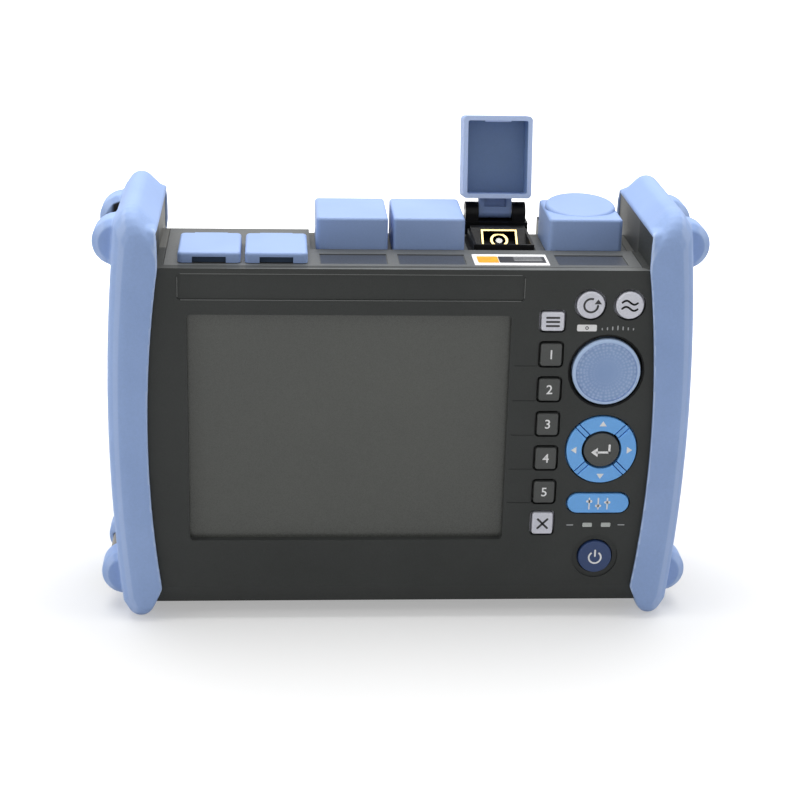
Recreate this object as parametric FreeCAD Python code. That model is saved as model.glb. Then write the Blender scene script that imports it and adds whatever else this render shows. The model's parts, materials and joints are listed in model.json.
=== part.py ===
import FreeCAD, Part
import math
import os

V = FreeCAD.Vector
os.makedirs("parts", exist_ok=True)

# Frame: X to the instrument's right, Y from the face to the rear, Z up.
# The origin is on the table, below the middle of the instrument with one port cover open.
# The parts are drawn about the middle of the side protectors and moved there at the end.

# ---- overall body ------------------------------------------------------------
BODY_H = 158.0            # height over the side protectors
BODY_D = 74.0             # depth over the side protectors
OUTER_HALF = 106.9        # half width over the side protectors, at mid height
LIP = 2.0                 # protector lip standing proud of the face and the back
MID_Z = BODY_H / 2
FRONT_Y = -BODY_D / 2
FACE_Y = FRONT_Y + LIP    # plane of the grey front face
BACK_Y = -FACE_Y          # plane of the rear case's back
SEAM_Y = FACE_Y + 28.0    # joint between front and rear case
WALL = 2.8                # wall of the case shells
FIT = 0.2                 # gap between fixed neighbours
RUN = 0.05                # radial gap of a hinge pin or shaft

# ---- case section, seen from the front ---------------------------------------
SIDE_T = 5.4              # protector over the case's side
CASE_BOW = 2.9
CASE_HALF = OUTER_HALF - SIDE_T     # half width at mid height
CASE_TOP_HALF = CASE_HALF - CASE_BOW
CHEEK_T = 10.0
CHEEK_TOP_T = 6.0
CHEEK_X = CASE_TOP_HALF - CHEEK_T   # inner wall of the cheeks beside the top panel
CHEEK_OUT_X = CHEEK_X + CHEEK_TOP_T
CHEEK_TOP_Z = 149.4
CHEEK_SIDE_Z = 145.5
LOW_CORNER_W = 10.5       # lower corners, cut off at a slant
LOW_CORNER_X = 2.3
LOW_CORNER_Z = 15.0
PANEL_Z = 137.1           # top of the case between the cheeks
FLOOR_Z = 6.0             # underside of the case
FACE_LOW_Z = 13.4         # lower edge of the flat face, above the bevel
BEVEL_Y = 3.5             # how far back the lower bevel runs
SLOPE_Y = BACK_Y - 14.0   # the top falls away behind this line
SLOPE_DROP = 9.0

# ---- side protectors ---------------------------------------------------------
SIDE_W = 14.7             # width at mid height, seen from the front
OUTER_BOW = 3.9           # the outside draws in by this much at the corners
INNER_BOW = 4.6           # the inner edge draws in at the top
INNER_LOW_BOW = 4.1       # and at the bottom
OUTER_END_HALF = OUTER_HALF - OUTER_BOW
INNER_HALF = OUTER_HALF - SIDE_W
INNER_TOP_X = INNER_HALF - INNER_BOW
INNER_LOW_X = INNER_HALF - INNER_LOW_BOW
INNER_DROP = 7.1          # inner top edge below the ridge
RIDGE_IN = 6.2            # middle of the ridge from the outer corner
RIDGE_X = OUTER_END_HALF - RIDGE_IN
RIDGE_R = 4.6
FOOT_CUT = 0.5            # flat foot ground off the lower ridge
CORNER_DROP = 5.5         # outer corner below the ridge
END_DEPTH = 11.0          # depth of the rounding at the front and the back
TOP_END_R = 11.0          # how far it takes the upper ridge down
LOW_END_R = 6.5           # and the lower ridge up
SIDE_R = 6.5              # rounding of the long outer edges
RIDGE_SHARE = 0.6         # the ridge follows the outside inwards by this share
RIDGE_TAPER = 0.3         # and gets sharper by this share
END_STEPS = 6             # sections through each rounding
EAR_R = 8.8               # strap ears
EAR_PROUD = 4.7           # ears beyond the protector's side
EAR_OUT = OUTER_HALF + EAR_PROUD
EAR_T = 14.0
EAR_BEVEL = 2.4
EAR_Y = (-19.0, 16.0)     # middles of the front and rear ear
EAR_Z = 143.5             # height of the upper ears
BAR_R = 1.8               # strap bar between two ears
BAR_OUT = 3.6             # bar axis inside the ear's outer edge
STRAP_GAP = 4.7           # room behind a strap bar
SCOOP_H = 15.0

# ---- window and display ------------------------------------------------------
PAD_IN = 18.0             # knob and arrow axis from the protector's inner edge
COLUMN_IN = 20.6          # column of function keys left of that axis
LEFT_MARGIN = 14.5
KEY_MARGIN = 14.9
PAD_X = INNER_HALF - PAD_IN
COLUMN_X = PAD_X - COLUMN_IN
WINDOW_X0 = LEFT_MARGIN - INNER_HALF
WINDOW_X1 = COLUMN_X - KEY_MARGIN
WINDOW_W = WINDOW_X1 - WINDOW_X0
WINDOW_X = (WINDOW_X0 + WINDOW_X1) / 2
WINDOW_H = 87.6
WINDOW_Z = 76.2
WINDOW_R = 1.5
WINDOW_T = 1.8
GLUE_EDGE = 2.2           # window plate beyond the opening
LCD_T = 7.5
LCD_EDGE = 5.0
TITLE_EDGE = 4.05         # shallow field above the window, longer at both ends
TITLE_W = WINDOW_W + 2 * TITLE_EDGE
TITLE_H = 9.6
TITLE_X = WINDOW_X + 0.5
TITLE_Z = 130.3
FIELD_DEEP = 0.4

# ---- keys --------------------------------------------------------------------
TRAVEL = 0.6              # stroke of every key
PROUD = 0.9               # keys stand this far out of the face
KEY_GAP = 0.9             # visible gap round a key
GROOVE_W = 0.35
GROOVE_DEEP = 0.2
SKIRT = 0.8               # hidden rim that keeps a key in its hole
SKIRT_T = 1.0
SKIRT_GAP = 0.1
MAT_T = 1.0
BOARD_T = 1.6
F_PITCH = 13.44
F_TOP_Z = 105.5
F_W = 7.6
F_H = 8.4
MENU_W = 8.1
MENU_H = 6.9
END_PITCH = 12.6          # MENU above F1, ESC below F5
KNOB_Z = 99.0
ARROW_Z = 68.6
WELL_R = 13.6             # knob well and arrow opening
KNOB_R = 12.5
KNOB_T = 4.6
KNOB_PROUD = 1.2
SHAFT_R = 3.0
WELL_DEEP = 5.6
CUP_T = 1.0               # wall of the knob well
RING_R = 13.0
RING_IN_R = 7.4
ENTER_R = 6.6
SPLIT_W = 1.5             # divider strip between two arrow keys
SPLIT_GAP = 0.35
SETUP_Z = 47.2
SETUP_W = 23.0
SETUP_H = 7.6
ROUND_Z = 124.3
ROUND_OFF = 7.1
ROUND_R = 5.0
POWER_Z = 25.4
POWER_R = 6.3
POWER_GAP = 0.5
DISH_R = 8.7
LED_Z = 38.2
LED_OFF = 3.5
LED_W = 3.6
LED_H = 1.7
ENCODER_HALF = 6.5
SHAFT_SEAT = 2.4          # the shaft enters the knob this far behind its face
SHAFT_TAIL = 3.4          # and ends this far behind the knob well
PLUNGER_T = 1.6
MAT_LOW_EDGE = 10.5       # mat and board below the power key's middle
MAT_TOP_EDGE = 8.5        # and above the round keys' middles
SPACER_W = 6.0
SPACER_Z = (30.0, 36.0)

# ---- top panel, ports and covers ---------------------------------------------
PLATE_T = 3.0
PLATE_EDGE = 2.6
PLATE_HALF = CHEEK_X - PLATE_EDGE
PLATE_Y0 = FACE_Y + 4.0
PLATE_Y1 = SLOPE_Y
ACROSS = PLATE_HALF / 86.0          # the row of ports spreads with the panel
STEP_Y = FACE_Y + 27.0    # the tall covers stand in a lower field behind this
STEP_DROP = 2.4
STEP_X0 = -33.4 * ACROSS
LABEL_Y0 = FACE_Y + 7.0   # label fields in front of the tall covers
LABEL_Y1 = FACE_Y + 20.5
LOW_W = 22.4 * ACROSS
LOW_Y0 = FACE_Y + 6.7
LOW_Y1 = FACE_Y + 34.6
LOW_H = 4.1
LOW_X = tuple(x * ACROSS for x in (-69.8, -45.8))
TALL_W = tuple(w * ACROSS for w in (26.4, 26.4, 26.4, 27.4))
TALL_X = tuple(x * ACROSS for x in (-18.0, 10.4, 38.6, 68.6))
TALL_Y0 = FACE_Y + 27.6
TALL_Y1 = BACK_Y - 11.2
TALL_TOP_Z = 148.9
OPEN_ONE = 2              # this tall cover stands open
COVER_T = 1.7
TALL_HINGE_Y = BACK_Y - 5.5
TALL_HINGE_Z = 142.3
OPEN_ANGLE = 100.0        # how far the open one stands up
TOP_EDGE_R = 1.2
BARREL = 2.2              # half thickness of a cover's tongue and barrel
TONGUE_W = 12.6
TONGUE_RIM = 2.0          # frame left round the pocket in a tongue
LUG_W = 5.0
LUG_GAP = 0.3
LUG_R = 4.0
WEB_T = 1.2               # wall behind the tongue, between the lugs
PIN_R = 1.2
BOSS_R = TALL_W[3] / 2 - 0.5        # round boss on the last cover
BOSS_H = 1.8
BOSS_BACK = 1.0           # gap from the boss to the cover's rear edge
BOSS_TILT = 6.5           # it rises to the rear by this angle
LOW_HINGE_Y = FACE_Y + 36.8
LOW_HINGE_Z = 139.0
LOW_PIN_R = 0.8
LOW_BARREL_R = 1.5
LOW_TONGUE_W = 12.0
LOW_LUG_W = 2.5
LOW_LUG_R = 1.3
JACK_W = 16.0             # data sockets under the low covers
JACK_Y0 = LOW_Y0 + 4.0
JACK_Y1 = LOW_Y1 - 8.0
JACK_Z = WINDOW_Z + WINDOW_H / 2 + LCD_EDGE + 1.0
COLLAR_GAP = 0.25         # raised collar of a port inside its cover
COLLAR_T = 1.0
COLLAR_H = 3.7            # collar above the lower field
COLLAR_Y0 = TALL_Y0 + COVER_T + 0.7
FLANGE = 0.6              # the port moulding's flange lies inside the cover's outline
WELL_Y0 = COLLAR_Y0 + COLLAR_T
WELL_Y1 = TALL_Y1 - 5.1   # leaves room for the cover's rear wall to swing
WELL_Z = 127.8            # floor of the well in front of the port
WELL_T = 1.4
DECK_Z = 139.5            # top of the tilted deck that carries the adapter
PORT_TILT = 35.0          # the adapters face up and to the front
PORT_Y = WELL_Y1 - 10.3   # middle of the adapter's face
PORT_Z = 135.4
PORT_PROUD = 1.0          # adapter frame above the deck
PORT_DEEP = 3.5           # pocket below the deck
SOCKET_W = 13.6           # square adapter housing
SOCKET_T = 0.7
FERRULE_R = 1.25
SLEEVE_R = 3.4
SLEEVE_T = 0.9
SLEEVE_UP = 2.4           # the sleeve sits this far above the housing's middle
MODULE_TOP_Z = 124.6      # top of the optical module

# ---- inside and rear ---------------------------------------------------------
BOARD_Y = FACE_Y + 14.5
BOARD_GAP = 3.3
BOARD_HALF = CASE_HALF - WALL - BOARD_GAP
BOARD_LOW_Z = 18.0
BOARD_TOP_Z = 128.0
CHIP_X = (-30.0, -2.0)
CHIP_Z = (50.0, 78.0)
CHIP_T = 3.0
MODULE_X = (TALL_X[0] - 12.0, TALL_X[3] + 15.4)   # optical module under the ports
MODULE_LOW_Z = 84.0
MODULE_GAP = 3.0          # from the board, bridged by its foot
FOOT_INSET = 10.0
FOOT_Z = (90.0, 96.0)
POST_R = 3.4
POST_IN = 8.3             # screw posts inside the case's half width
POST_Z = (24.0, 122.0)
POST_AT = tuple((side * (CASE_HALF - POST_IN), z) for z in POST_Z for side in (-1, 1))
SCREW_R = 1.5
SCREW_HEAD_R = 3.0
BATTERY_W = 110.0
BATTERY_H = 46.0
BATTERY_T = 14.0
BATTERY_Z = 100.0
DOOR_T = 2.0
DOOR_EDGE = 4.0
STAND_W = 110.0
STAND_H = 50.0
STAND_T = 5.0
STAND_HINGE_Z = 64.0
STAND_PIN_R = 1.5
STAND_TIP = 3.5           # plate above the hinge axis
STAND_GAP = 0.5


# ---- helpers -----------------------------------------------------------------
def box(x0, x1, y0, y1, z0, z1):
    return Part.makeBox(x1 - x0, y1 - y0, z1 - z0, V(x0, y0, z0))


def rod_y(x, z, radius, y0, y1):
    return Part.makeCylinder(radius, y1 - y0, V(x, y0, z), V(0, 1, 0))


def rod_x(y, z, radius, x0, x1):
    return Part.makeCylinder(radius, x1 - x0, V(x0, y, z), V(1, 0, 0))


def rod_z(x, y, radius, z0, z1):
    return Part.makeCylinder(radius, z1 - z0, V(x, y, z0))


def prism_y(edges, y0, y1):
    """Extrude a closed loop of edges drawn in the plane y = y0."""
    face = Part.Face(Part.Wire(Part.__sortEdges__(edges)))
    return face.extrude(V(0, y1 - y0, 0))


def polygon_x(points, x0, x1):
    """Extrude a polygon given as (y, z) along X."""
    corners = [V(x0, y, z) for y, z in points]
    wire = Part.makePolygon(corners + corners[:1])
    return Part.Face(wire).extrude(V(x1 - x0, 0, 0))


def round_along(solid, direction, radius, keep=None):
    """Round the straight edges that run along a direction."""
    chosen = []
    for edge in solid.Edges:
        if edge.Curve.TypeId != "Part::GeomLine":
            continue
        if edge.tangentAt(edge.FirstParameter).cross(direction).Length > 1e-6:
            continue
        if keep is None or keep(edge.CenterOfMass):
            chosen.append(edge)
    return solid.makeFillet(radius, chosen)


def plate_y(x, z, width, height, y0, y1, radius):
    """A plate facing -Y with rounded corners."""
    block = box(x - width / 2, x + width / 2, y0, y1, z - height / 2, z + height / 2)
    return round_along(block, V(0, 1, 0), radius)


def mirror_x(shape):
    return shape.mirror(V(0, 0, 0), V(1, 0, 0))


def fuse(first, *others):
    return first.multiFuse(list(others)).removeSplitter()


def cut(base, *tools):
    return base.cut(Part.makeCompound(list(tools)))


def arc_edge(a, middle, b):
    return Part.Arc(a, middle, b).toShape()


def line_edge(a, b):
    return Part.LineSegment(a, b).toShape()


# ---- case --------------------------------------------------------------------
def case_outline(y):
    right = [
        V(0, y, FLOOR_Z), V(CASE_HALF - LOW_CORNER_W, y, FLOOR_Z),
        V(CASE_HALF - LOW_CORNER_X, y, LOW_CORNER_Z),
    ]
    cheek = [
        V(CASE_TOP_HALF, y, CHEEK_SIDE_Z), V(CHEEK_OUT_X, y, CHEEK_TOP_Z),
        V(CHEEK_X, y, CHEEK_TOP_Z), V(CHEEK_X, y, PANEL_Z), V(0, y, PANEL_Z),
    ]
    edges = [line_edge(a, b) for a, b in zip(right, right[1:])]
    edges.append(arc_edge(right[-1], V(CASE_HALF, y, MID_Z), cheek[0]))
    edges += [line_edge(a, b) for a, b in zip(cheek, cheek[1:])]
    return edges


def case_body():
    """Outer form of both case shells together."""
    edges = case_outline(FACE_Y)
    edges += [edge.mirror(V(0, 0, 0), V(1, 0, 0)) for edge in edges]
    body = prism_y(edges, FACE_Y, BACK_Y)
    span = CASE_HALF + 5
    bevel = polygon_x([
        (FACE_Y, FACE_LOW_Z), (FACE_Y + BEVEL_Y, FLOOR_Z),
        (FACE_Y + BEVEL_Y, FLOOR_Z - 5), (FACE_Y - 5, FLOOR_Z - 5), (FACE_Y - 5, FACE_LOW_Z),
    ], -span, span)
    slope = polygon_x([
        (SLOPE_Y, PANEL_Z), (BACK_Y + 1, PANEL_Z - SLOPE_DROP),
        (BACK_Y + 1, PANEL_Z + 1), (SLOPE_Y, PANEL_Z + 1),
    ], -CHEEK_X, CHEEK_X)
    step = box(STEP_X0, CHEEK_X, STEP_Y, BACK_Y + 1, PANEL_Z - STEP_DROP, PANEL_Z + 1)
    return cut(body, bevel, slope, step)


def case_cavity():
    """The room inside the shells."""
    y0 = FACE_Y + WALL
    y1 = BACK_Y - WALL
    low = FLOOR_Z + WALL
    top = PANEL_Z - PLATE_T
    side = CASE_HALF - WALL
    end = CASE_TOP_HALF - WALL
    inner = CASE_HALF - LOW_CORNER_W - 1
    right = [V(0, y0, low), V(inner, y0, low), V(end, y0, low + end - inner)]
    edges = [line_edge(a, b) for a, b in zip(right, right[1:])]
    edges.append(arc_edge(right[-1], V(side, y0, MID_Z), V(end, y0, top)))
    edges.append(line_edge(V(end, y0, top), V(0, y0, top)))
    edges += [edge.mirror(V(0, 0, 0), V(1, 0, 0)) for edge in edges]
    room = prism_y(edges, y0, y1)
    slope = polygon_x([
        (SLOPE_Y, top), (BACK_Y + 1, top - SLOPE_DROP), (BACK_Y + 1, top + 9), (SLOPE_Y, top + 9),
    ], -CASE_HALF, CASE_HALF)
    return cut(room, slope)


def key_places():
    """Name, outline kind and sizes of each plain key."""
    places = [("menu", "square", COLUMN_X, F_TOP_Z + END_PITCH, MENU_W, MENU_H)]
    for i in range(5):
        places.append((f"f{i + 1}", "square", COLUMN_X, F_TOP_Z - i * F_PITCH, F_W, F_H))
    places.append(("esc", "square", COLUMN_X, F_TOP_Z - 4 * F_PITCH - END_PITCH, F_W, F_H))
    places.append(("real_time", "round", PAD_X - ROUND_OFF, ROUND_Z, ROUND_R, KEY_GAP))
    places.append(("average", "round", PAD_X + ROUND_OFF, ROUND_Z, ROUND_R, KEY_GAP))
    places.append(("power", "round", PAD_X, POWER_Z, POWER_R, POWER_GAP))
    places.append(("setup", "pill", PAD_X, SETUP_Z, SETUP_W, SETUP_H))
    return places


def key_prism(kind, x, z, a, b, grow, y0, y1):
    """A key's outline, grown sideways, extruded from y0 to y1."""
    if kind == "round":
        return rod_y(x, z, a + grow, y0, y1)
    radius = b / 2 + grow - 0.01 if kind == "pill" else 0.9 + grow
    return plate_y(x, z, a + 2 * grow, b + 2 * grow, y0, y1, radius)


def key_gap(kind, b):
    return b if kind == "round" else KEY_GAP if kind == "square" else 0.6


def key_holes(y0, y1):
    holes = []
    for _, kind, x, z, a, b in key_places():
        holes.append(key_prism(kind, x, z, a, b, key_gap(kind, b), y0, y1))
    return holes


def posts(y0, y1):
    return [rod_y(x, z, POST_R, y0, y1) for x, z in POST_AT]


def panel_opening():
    return box(-PLATE_HALF, PLATE_HALF, PLATE_Y0, PLATE_Y1, WELL_Z - 2, PANEL_Z + 1)


def key_groove(z):
    """Fine groove that leads from the window to the foot of one function key."""
    x0 = WINDOW_X + WINDOW_W / 2 + 1.5
    x1 = COLUMN_X - F_W / 2 - KEY_GAP
    foot = z - F_H / 2
    return box(x0, x1, FACE_Y - 1, FACE_Y + GROOVE_DEEP, foot - GROOVE_W, foot)


def slab(y0, y1):
    """Everything of the case between two depths."""
    half = CASE_HALF + 5
    return box(-half, half, y0, y1, FLOOR_Z - 5, CHEEK_TOP_Z + 5)


def front_case():
    shell = case_body().common(slab(FACE_Y - 1, SEAM_Y))
    shell = cut(shell, case_cavity(), panel_opening())
    y0 = FACE_Y - 1
    inside = FACE_Y + WALL
    window = plate_y(WINDOW_X, WINDOW_Z, WINDOW_W, WINDOW_H, y0, inside + 1, WINDOW_R)
    title = plate_y(TITLE_X, TITLE_Z, TITLE_W, TITLE_H, y0, FACE_Y + FIELD_DEEP, 1.5)
    knob_cup = rod_y(PAD_X, KNOB_Z, WELL_R + CUP_T, inside - 0.5, FACE_Y + WELL_DEEP + CUP_T)
    shell = fuse(shell, knob_cup, *posts(inside - 0.5, BOARD_Y))
    tools = [window, title, rod_y(PAD_X, KNOB_Z, WELL_R, y0, FACE_Y + WELL_DEEP)]
    tools.append(rod_y(PAD_X, KNOB_Z, SHAFT_R + RUN, y0, BOARD_Y))
    tools.append(rod_y(PAD_X, ARROW_Z, WELL_R, y0, inside + 1))
    tools.append(rod_y(PAD_X, POWER_Z, DISH_R, y0, FACE_Y + 0.5))
    tools += key_holes(y0, inside + 1)
    tools += [key_groove(F_TOP_Z - i * F_PITCH) for i in range(5)]
    for side in (-1, 1):
        x = PAD_X + side * LED_OFF
        tools.append(plate_y(x, LED_Z, LED_W + 0.2, LED_H + 0.2, y0, inside + 1, 0.5))
    tools += [rod_y(x, z, SCREW_R - 0.2, inside + 2, BOARD_Y + 1) for x, z in POST_AT]
    return cut(shell, *tools)


def battery_pocket(grow, y0, y1):
    half_w = BATTERY_W / 2 + grow
    half_h = BATTERY_H / 2 + grow
    return box(-half_w, half_w, y0, y1, BATTERY_Z - half_h, BATTERY_Z + half_h)


POCKET_Y = BACK_Y - DOOR_T - FIT - BATTERY_T - FIT   # floor of the battery pocket
POCKET_WALL = 1.6


def stand_recess():
    half = STAND_W / 2 + STAND_GAP
    low = STAND_HINGE_Z - STAND_H - STAND_GAP
    top = STAND_HINGE_Z + STAND_TIP + STAND_GAP
    return box(-half, half, BACK_Y - STAND_T - STAND_GAP, BACK_Y + 1, low, top)


def block_link(x, grow):
    """The bridge between a port well and its hinge lugs."""
    half = TONGUE_W / 2 + LUG_W + grow
    top = PANEL_Z - STEP_DROP
    return box(x - half, x + half, WELL_Y1, TALL_Y1 + 1 + grow, top - 3 - grow, top)


def rear_case():
    shell = case_body().common(slab(SEAM_Y, BACK_Y + 1))
    shell = cut(shell, case_cavity(), panel_opening())
    pocket_wall = battery_pocket(FIT + POCKET_WALL, POCKET_Y - POCKET_WALL, BACK_Y - WALL + 0.5)
    half = STAND_W / 2 + STAND_GAP + 6
    floor_y = BACK_Y - STAND_T - STAND_GAP
    low = STAND_HINGE_Z - STAND_H - STAND_GAP - 2
    backing = box(-half, half, floor_y - 2, BACK_Y - WALL + 0.5, low, STAND_HINGE_Z + 6)
    bosses = posts(BOARD_Y + BOARD_T, BACK_Y - WALL + 0.5)
    shell = fuse(shell, pocket_wall, backing, *bosses)
    door = plate_y(0, BATTERY_Z, BATTERY_W + 2 * DOOR_EDGE + 2 * FIT,
                   BATTERY_H + 2 * DOOR_EDGE + 2 * FIT, BACK_Y - DOOR_T, BACK_Y + 1, 3 + FIT)
    tools = [battery_pocket(FIT, POCKET_Y, BACK_Y + 1), door, stand_recess()]
    for x, z in POST_AT:
        tools.append(rod_y(x, z, SCREW_R + 0.2, BOARD_Y, BACK_Y + 1))
        tools.append(rod_y(x, z, SCREW_HEAD_R + 0.3, BACK_Y - 8, BACK_Y + 1))
    pin_y = BACK_Y - STAND_T / 2
    reach = STAND_W / 2 + STAND_GAP + 5
    tools.append(rod_x(pin_y, STAND_HINGE_Z, STAND_PIN_R, -reach, reach))
    tools += [block_link(x, FIT) for x in TALL_X]
    return cut(shell, *tools)


def port_flange(x, width, grow, z0, z1):
    """Footprint of a port moulding in the top panel."""
    half = width / 2 - FLANGE + grow
    return box(x - half, x + half, TALL_Y0 + FLANGE - grow, PLATE_Y1 - FIT + grow, z0, z1)


def connector_panel():
    top = box(-PLATE_HALF + FIT, PLATE_HALF - FIT, PLATE_Y0 + FIT, PLATE_Y1 - FIT,
              PANEL_Z - PLATE_T, PANEL_Z)
    under = box(STEP_X0 - 3, PLATE_HALF - FIT, STEP_Y - 3, PLATE_Y1 - FIT,
                PANEL_Z - PLATE_T - STEP_DROP, PANEL_Z - 1)
    plate = fuse(top, under)
    step = box(STEP_X0, PLATE_HALF + 1, STEP_Y, PLATE_Y1 + 1, PANEL_Z - STEP_DROP, PANEL_Z + 1)
    tools = [step]
    for x, width in zip(TALL_X, TALL_W):
        tools.append(port_flange(x, width, FIT, MODULE_TOP_Z, CHEEK_TOP_Z))
        tools.append(box(x - width / 2 + 1, x + width / 2 - 1, LABEL_Y0, LABEL_Y1,
                         PANEL_Z - FIELD_DEEP, PANEL_Z + 1))
    for x in LOW_X:
        half = JACK_W / 2 + FIT
        tools.append(box(x - half, x + half, JACK_Y0, JACK_Y1, JACK_Z, CHEEK_TOP_Z))
    plate = cut(plate, *tools)
    ears = []
    for x in LOW_X:
        for side in (-1, 1):
            inner = LOW_TONGUE_W / 2 + LUG_GAP
            x0 = x + inner if side > 0 else x - inner - LOW_LUG_W
            ears.append(box(x0, x0 + LOW_LUG_W, LOW_HINGE_Y - LOW_LUG_R, LOW_HINGE_Y + LOW_LUG_R,
                            PANEL_Z - 0.5, LOW_HINGE_Z))
            ears.append(rod_x(LOW_HINGE_Y, LOW_HINGE_Z, LOW_LUG_R, x0, x0 + LOW_LUG_W))
    plate = fuse(plate, *ears)
    bores = []
    for x in LOW_X:
        reach = LOW_TONGUE_W / 2 + LUG_GAP + LOW_LUG_W
        bores.append(rod_x(LOW_HINGE_Y, LOW_HINGE_Z, LOW_PIN_R, x - reach, x + reach))
    return cut(plate, *bores)


# ---- protectors --------------------------------------------------------------
def tangent_point(point, centre, radius, turn):
    """Where the tangent from a point touches a circle in the XZ plane; turn is +1 or -1."""
    away = point - centre
    angle = math.atan2(away.z, away.x) + turn * math.acos(radius / away.Length)
    return centre + V(radius * math.cos(angle), 0, radius * math.sin(angle))


def protector_wire(y, top_drop, low_rise, narrow):
    """Outline at depth y, its two ends drawn in and its outside narrowed."""
    top = BODY_H - top_drop
    ridge_x = RIDGE_X - RIDGE_SHARE * narrow
    ridge_r = RIDGE_R - RIDGE_TAPER * narrow
    end_x = OUTER_END_HALF - narrow
    a = V(INNER_TOP_X, y, top - INNER_DROP)
    a_low = V(INNER_LOW_X, y, FACE_LOW_Z - 0.2)
    corner = V(end_x, y, top - CORNER_DROP)
    corner_low = V(end_x, y, CORNER_DROP + low_rise)
    ridge = V(ridge_x, y, top - ridge_r)
    ridge_low = V(ridge_x, y, ridge_r - FOOT_CUT + low_rise)
    up_in = tangent_point(a, ridge, ridge_r, -1)
    up_out = tangent_point(corner, ridge, ridge_r, 1)
    low_in = tangent_point(a_low, ridge_low, ridge_r, 1)
    low_out = tangent_point(corner_low, ridge_low, ridge_r, -1)
    arc_top = V(INNER_TOP_X, y, PANEL_Z)
    return Part.Wire([
        line_edge(a, up_in), arc_edge(up_in, ridge + V(0, 0, ridge_r), up_out),
        line_edge(up_out, corner),
        arc_edge(corner, V(OUTER_HALF - narrow, y, MID_Z), corner_low),
        line_edge(corner_low, low_out), arc_edge(low_out, ridge_low - V(0, 0, ridge_r), low_in),
        line_edge(low_in, a_low),
        arc_edge(a_low, V(INNER_HALF, y, MID_Z - 1), arc_top), line_edge(arc_top, a),
    ])


def rounded_end(sign):
    """Front or back of a protector, rounded towards the ridges and the outside."""
    wires = []
    for i in range(END_STEPS + 1):
        turn = math.radians(90 * i / END_STEPS)
        depth = BODY_D / 2 - END_DEPTH * (1 - math.sin(turn))
        into = max(0.0, depth - (BODY_D / 2 - SIDE_R)) / SIDE_R
        round_off = 1 - math.cos(turn)
        narrow = SIDE_R * (1 - math.sqrt(1 - min(into, 1.0) ** 2))
        wires.append(protector_wire(sign * depth, TOP_END_R * round_off, LOW_END_R * round_off, narrow))
    return Part.makeLoft(wires, True, True)


def protector_right():
    straight = BODY_D / 2 - END_DEPTH
    face = Part.Face(protector_wire(-straight, 0, 0, 0))
    middle = face.extrude(V(0, 2 * straight, 0))
    return fuse(middle, rounded_end(-1), rounded_end(1))


def strap_ear(y, z):
    disc = rod_y(EAR_OUT - EAR_R, z, EAR_R, y - EAR_T / 2, y + EAR_T / 2)
    rim = [edge for edge in disc.Edges if edge.Curve.TypeId == "Part::GeomCircle"]
    return disc.makeChamfer(EAR_BEVEL, rim)


def finished_protector(case):
    body = protector_right()
    ears = [strap_ear(y, z) for y in EAR_Y for z in (EAR_Z, BODY_H - EAR_Z)]
    body = fuse(body, *ears)
    inside = INNER_TOP_X - 5
    under = box(inside, CHEEK_X, FACE_Y, BACK_Y, FACE_LOW_Z - 8, CHEEK_TOP_Z)
    foot = box(inside, OUTER_HALF, FRONT_Y - 1, 1 - FRONT_Y, -FOOT_CUT - 1, 0)
    body = cut(body, case, under, foot, *[strap_scoop(z) for z in (EAR_Z, BODY_H - EAR_Z)])
    bars = [strap_bar(z, BAR_R) for z in (EAR_Z, BODY_H - EAR_Z)]
    return cut(body, *bars)


def strap_scoop(z):
    """Hollow behind a strap bar, where the strap passes."""
    gap0 = EAR_Y[0] + EAR_T / 2
    gap1 = EAR_Y[1] - EAR_T / 2
    inner = EAR_OUT - BAR_OUT - BAR_R - STRAP_GAP
    return box(inner, EAR_OUT + 1, gap0, gap1, z - SCOOP_H / 2, z + SCOOP_H / 2)


def strap_bar(z, radius):
    return rod_y(EAR_OUT - BAR_OUT, z, radius, EAR_Y[0] - 2, EAR_Y[1] + 2)


def strap_bars():
    right = [strap_bar(z, BAR_R) for z in (EAR_Z, BODY_H - EAR_Z)]
    return Part.makeCompound(right + [mirror_x(bar) for bar in right])


# ---- display stack -----------------------------------------------------------
def display_window():
    y = FACE_Y + WALL
    return plate_y(WINDOW_X, WINDOW_Z, WINDOW_W + 2 * GLUE_EDGE, WINDOW_H + 2 * GLUE_EDGE,
                   y, y + WINDOW_T, WINDOW_R)


def lcd_module():
    y = FACE_Y + WALL + WINDOW_T
    body = plate_y(WINDOW_X, WINDOW_Z, WINDOW_W + 2 * GLUE_EDGE, WINDOW_H + 2 * LCD_EDGE,
                   y, y + LCD_T, 2)
    return body


def main_board():
    back = BOARD_Y + BOARD_T
    board = box(-BOARD_HALF, BOARD_HALF, BOARD_Y, back, BOARD_LOW_Z, BOARD_TOP_Z)
    board = fuse(board, box(*CHIP_X, back - 0.1, back + CHIP_T, *CHIP_Z))
    tools = [rod_y(x, z, SCREW_R + 0.2, BOARD_Y - 1, back + 1) for x, z in POST_AT]
    room = JACK_W / 2 + FIT
    for x in LOW_X:
        tools.append(box(x - room, x + room, BOARD_Y - 1, back + 1, JACK_Z - FIT, PANEL_Z))
    return cut(board, *tools)


# ---- keys --------------------------------------------------------------------
KEY_BACK_Y = FACE_Y + WALL + SKIRT_GAP + SKIRT_T
MAT_Y = KEY_BACK_Y + TRAVEL + SKIRT_GAP
PAD_LEFT = COLUMN_X - F_W / 2 - KEY_GAP - SKIRT - 1.2
PAD_RIGHT = PAD_X + WELL_R + 1.8


def plain_key(kind, x, z, a, b):
    cap = key_prism(kind, x, z, a, b, 0, FACE_Y - PROUD, KEY_BACK_Y)
    front = [edge for edge in cap.Edges if abs(edge.CenterOfMass.y - FACE_Y + PROUD) < 1e-6]
    cap = cap.makeFillet(0.5, front)
    grow = key_gap(kind, b) + SKIRT
    skirt = key_prism(kind, x, z, a, b, grow, KEY_BACK_Y - SKIRT_T, KEY_BACK_Y)
    return fuse(cap, skirt)


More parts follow.
